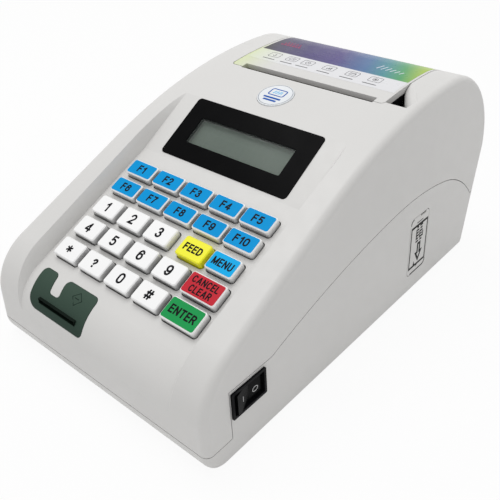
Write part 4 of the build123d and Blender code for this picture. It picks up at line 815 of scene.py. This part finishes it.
# ---------------------------------------------------------------- badge
def dress_badge():
    """A plain ticket pictogram in blues on the blank disc, with a grey ring of painted shade round its
    rim.
    """
    face = flat_face("round_badge", BADGE_NORMAL)
    deep = ink("badge_deep_blue", (0.01, 0.10, 0.42), 0.25)
    pale = ink("badge_pale_blue", (0.10, 0.50, 0.85), 0.25)
    ticket_y, bars_y = 1.9 * MM, -2.9 * MM

    def ticket(bm):
        add_stroke(bm, rounded_outline(8.6 * MM, 5.0 * MM, 1.0 * MM, 4), 0.6 * MM, True)

    def filling(bm):
        for k in range(3):
            x = (-2.2 + 1.5 * k) * MM
            add_stroke(bm, [(x, -1.2 * MM), (x + 0.9 * MM, 1.2 * MM)], 0.62 * MM)
        add_stroke(bm, mm((2.3, -1.3), (2.3, 1.3)), 0.35 * MM)

    def bars(bm):
        for half, y in ((4.9, 0.0), (3.7, -2.0)):
            add_stroke(bm, mm((-half, y), (half, y)), 1.2 * MM)

    def rim(bm):
        add_stroke(bm, circle(face.width / 2 - 0.25 * MM, 40), 0.3 * MM, True)

    flat_piece("badge_ticket", ticket, face, deep, "root", y=ticket_y)
    flat_piece("badge_ticket_fill", filling, face, pale, "root", y=ticket_y)
    flat_piece("badge_bars", bars, face, deep, "root", y=bars_y)
    # painted shade: a grey ring stands in for the darker rim of the domed badge
    grey = ink("badge_rim_painted_shade", (0.30, 0.33, 0.37), 0.3)
    flat_piece("badge_rim", rim, face, grey, "root")


# ---------------------------------------------------------------- card slot
THROAT_X = (-35.6 * MM, -10.4 * MM)
THROAT_Z = (31.5 * MM, 34.0 * MM)
THROAT_WALL = 0.15 * MM
THROAT_DEPTH = 9.0 * MM
THROAT_RIM = 0.3 * MM      # the insert's face is found this far below the slot
THROAT_INSET = 0.35 * MM   # the lining starts this far behind it


def dress_card_slot():
    """A near-black lining inside the slot through the housing's wall, painted shade for the slot's
    inside, and the engraved rhombus above it.
    """
    tree = solid_tree("card_slot_insert")
    middle = (THROAT_X[0] + THROAT_X[1]) / 2
    start = Vector((middle, -RAY_START, THROAT_Z[0] - THROAT_RIM))
    front = tree.ray_cast(start, Y_AXIS)[0].y + THROAT_INSET
    bm = bmesh.new()
    rings = []
    for y in (front, front + THROAT_DEPTH):
        for inset in (HAIR, THROAT_WALL):
            x0, x1 = THROAT_X[0] + inset, THROAT_X[1] - inset
            z0, z1 = THROAT_Z[0] + inset, THROAT_Z[1] - inset
            corners = ((x0, y, z0), (x1, y, z0), (x1, y, z1), (x0, y, z1))
            rings.append([bm.verts.new(c) for c in corners])
    outer_front, inner_front, outer_back, inner_back = rings
    for a, b in ((outer_front, inner_front), (inner_front, inner_back), (inner_back, outer_back),
                 (outer_back, outer_front)):
        for i in range(4):
            j = (i + 1) % 4
            bm.faces.new((a[i], a[j], b[j], b[i]))
    # painted shade: a near-black sheet lines the slot's walls
    dark = moulded("throat", (0.006, 0.011, 0.008), 0.5, specular=0.03)
    finish_piece("card_throat", bm, dark, "root")

    def pictogram(bm):
        x, y, half, line = -15.6 * MM, -105.2 * MM, 3.0 * MM, 0.3 * MM
        rhombus = [(x - half, y), (x, y + half * 0.8), (x + half, y), (x, y - half * 0.8)]
        add_stroke(bm, rhombus, line, True)
        add_stroke(bm, [(x - half * 0.5, y), (x + half * 0.4, y)], line)

    engraved = ink("insert_engraving", (0.014, 0.028, 0.020))
    draped_piece("insert_pictogram", pictogram, tree, engraved, "root", 5 * HAIR)


# ---------------------------------------------------------------- side marks
SIDE_NORMAL = (1, 0, 0.06)    # the right side wall leans inwards
ROCKER_THROW = math.radians(14)


def dress_side():
    """Printed panel on the hatch: a frame, a plain block pattern and an arrow down, with painted
    shadow of the gap along its edge.
    """
    face = flat_face("side_hatch", SIDE_NORMAL, Y_AXIS)
    left, right, top, bottom = -7.9 * MM, 8.3 * MM, 11.0 * MM, -12.5 * MM
    black = ink("hatch_ink", (0.008, 0.008, 0.008))

    def outline(bm):
        add_stroke(bm, [(left, top), (right, top)], 1.3 * MM)
        add_stroke(bm, [(left, bottom), (right, bottom)], 1.2 * MM)

    def sides(bm):
        for x in (left, right):
            add_stroke(bm, [(x, bottom - 0.6 * MM), (x, top + 0.65 * MM)], 0.85 * MM)

    # painted shadow: dark lines along the bottom edge, bottom rear corner and top front corner, where
    # the gap round the hatch is
    def edge(bm):
        wide, tall = face.width - 0.7 * MM, face.height - 0.7 * MM
        points = rounded_outline(wide, tall, 2.6 * MM, 4)
        add_stroke(bm, points[14:], 0.6 * MM)
        add_stroke(bm, points[5:10], 0.5 * MM)

    def arrow(bm):
        x, y = 0.9 * MM, -5.6 * MM
        shaft, head, tall, long = 1.1 * MM, 2.7 * MM, 4.4 * MM, 5.2 * MM
        points = [(x - shaft, y + long), (x + shaft, y + long), (x + shaft, y), (x + head, y),
                  (x, y - tall), (x - head, y), (x - shaft, y)]
        add_stroke(bm, points, 1.35 * MM, True)

    def tile(bm):
        for row in range(6):
            for column in range(2):
                x, y = (-1.5 + 3.7 * column) * MM, (1.6 + 1.65 * row) * MM
                wide = (2.9, 2.1, 2.7, 1.7)[(row * 3 + column) % 4] * MM
                add_stroke(bm, [(x - wide / 2, y), (x + wide / 2, y)], 1.0 * MM)
        for column in range(3):
            x = (-2.6 + 3.3 * column) * MM
            add_stroke(bm, [(x, 2.6 * MM), (x, (8.7 - 1.5 * column) * MM)], 0.75 * MM)

    def ticks(bm):
        add_stroke(bm, mm((-2.9, 12.7), (3.3, 12.7)), 0.45 * MM)
        add_fill(bm, mm((-3.9, -12.2), (-1.9, -12.2), (-3.1, -9.6)))
        add_fill(bm, mm((-1.0, -14.2), (1.2, -12.9), (-0.2, -12.9)))

    prints = {"outline": (outline, INK), "sides": (sides, 1.2 * INK), "edge": (edge, INK),
              "arrow": (arrow, INK), "tile": (tile, 1.3 * INK), "ticks": (ticks, INK)}
    for name, (draw, depth) in prints.items():
        flat_piece("hatch_" + name, draw, face, black, "hatch", depth)


def dress_switch():
    """O on the half of the rocker that lies flush, I on the half that stands out."""
    white = ink("switch_ink", (0.5, 0.5, 0.5))
    leaning = (math.cos(ROCKER_THROW), math.sin(ROCKER_THROW), SIDE_NORMAL[2])
    flush = flat_face("switch_rocker", SIDE_NORMAL, Y_AXIS, 6)
    tilted = flat_face("switch_rocker", leaning, Y_AXIS, 6)
    if tilted.centre.y > flush.centre.y:
        flush, tilted = tilted, flush

    def oval(bm):
        points = [(1.1 * x, 0.78 * y - 1.1 * MM) for x, y in circle(1.4 * MM, 24)]
        add_stroke(bm, points, 0.36 * MM, True)

    def upright(bm):
        add_stroke(bm, mm((0, -1.25), (0, 1.35)), 0.42 * MM)

    flat_piece("mark_off", oval, flush, white, "rocker")
    flat_piece("mark_on", upright, tilted, white, "rocker")


# ---------------------------------------------------------------- studio
FLOOR_HALF = 6.0
BACKGROUND_SHARE = 0.93    # how far the floor shows as plain white behind the object
WORLD_LIGHT = 0.65         # of the white surroundings; the background itself shows at 1
LAMP_PLACE = (-0.30, 0.0, 1.05)
LAMP_TARGET = (0, 0, 0.05)
LAMP_SIZE = 0.7
LAMP_WATTS = 4.2


def shown_rays(tree):
    """1 for camera, glossy and transmission rays, which see the plain background."""
    path = tree.nodes.new("ShaderNodeLightPath")
    total = path.outputs["Is Camera Ray"]
    for name in ("Is Glossy Ray", "Is Transmission Ray"):
        highest = tree.nodes.new("ShaderNodeMath")
        highest.operation = "MAXIMUM"
        tree.links.new(total, highest.inputs[0])
        tree.links.new(path.outputs[name], highest.inputs[1])
        total = highest.outputs[0]
    return total


def floor():
    """Pale floor that takes shadows but is nearly as white as the background."""
    material = bpy.data.materials.new("studio_floor")
    material.use_nodes = True
    tree = material.node_tree
    tree.nodes.clear()
    output = tree.nodes.new("ShaderNodeOutputMaterial")
    matt = tree.nodes.new("ShaderNodeBsdfDiffuse")
    matt.inputs["Color"].default_value = (0.86, 0.86, 0.86, 1)
    glow = tree.nodes.new("ShaderNodeEmission")
    share = tree.nodes.new("ShaderNodeMath")
    share.operation = "MULTIPLY"
    share.inputs[1].default_value = BACKGROUND_SHARE
    tree.links.new(shown_rays(tree), share.inputs[0])
    mix = tree.nodes.new("ShaderNodeMixShader")
    tree.links.new(share.outputs[0], mix.inputs[0])
    tree.links.new(matt.outputs[0], mix.inputs[1])
    tree.links.new(glow.outputs[0], mix.inputs[2])
    tree.links.new(mix.outputs[0], output.inputs["Surface"])
    mesh = bpy.data.meshes.new("studio_floor")
    corners = [(x * FLOOR_HALF, y * FLOOR_HALF, 0) for x, y in ((-1, -1), (1, -1), (1, 1), (-1, 1))]
    mesh.from_pydata(corners, [], [(0, 1, 2, 3)])
    mesh.materials.append(material)
    plane = bpy.data.objects.new("studio_floor", mesh)
    bpy.context.collection.objects.link(plane)


def world():
    """White surroundings, dimmer as a light than they look."""
    made = bpy.data.worlds.new("studio")
    made.use_nodes = True
    tree = made.node_tree
    background = tree.nodes["Background"]
    background.inputs["Color"].default_value = (1, 1, 1, 1)
    level = tree.nodes.new("ShaderNodeMapRange")
    tree.links.new(shown_rays(tree), level.inputs["Value"])
    level.inputs["To Min"].default_value = WORLD_LIGHT
    level.inputs["To Max"].default_value = 1.0
    tree.links.new(level.outputs[0], background.inputs["Strength"])
    bpy.context.scene.world = made


def key_light():
    """Soft round lamp above and a little to the left."""
    data = bpy.data.lights.new("key_light", "AREA")
    data.shape = "DISK"
    data.size = LAMP_SIZE
    data.energy = LAMP_WATTS
    lamp = bpy.data.objects.new("key_light", data)
    lamp.location = LAMP_PLACE
    lamp.rotation_mode = "QUATERNION"
    lamp.rotation_quaternion = (Vector(LAMP_TARGET) - Vector(LAMP_PLACE)).to_track_quat("-Z", "Y")
    bpy.context.collection.objects.link(lamp)


def camera():
    """The photo's camera."""
    az, el, roll = (math.radians(a) for a in (AZIMUTH, ELEVATION, ROLL))
    back = Vector((math.sin(az) * math.cos(el), -math.cos(az) * math.cos(el), math.sin(el)))
    level_right = (-back).cross(Vector((0, 0, 1))).normalized()
    level_up = level_right.cross(-back)
    right = level_right * math.cos(roll) + level_up * math.sin(roll)
    up = level_up * math.cos(roll) - level_right * math.sin(roll)
    data = bpy.data.cameras.new("photo_camera")
    data.lens = LENS
    data.sensor_width = SENSOR
    data.sensor_fit = "HORIZONTAL"
    data.clip_start = 0.01
    data.clip_end = 50.0
    made = bpy.data.objects.new("photo_camera", data)
    turn = Matrix([[c[i] for c in (right, up, back)] for i in range(3)]).to_4x4()
    made.matrix_world = Matrix.Translation(CAMERA_PLACE) @ turn
    bpy.context.collection.objects.link(made)
    bpy.context.scene.camera = made


dress_nodes()
dress_keys()
dress_lid()
dress_badge()
dress_card_slot()
dress_side()
dress_switch()
floor()
world()
key_light()
camera()
bpy.context.scene.view_settings.view_transform = "Standard"
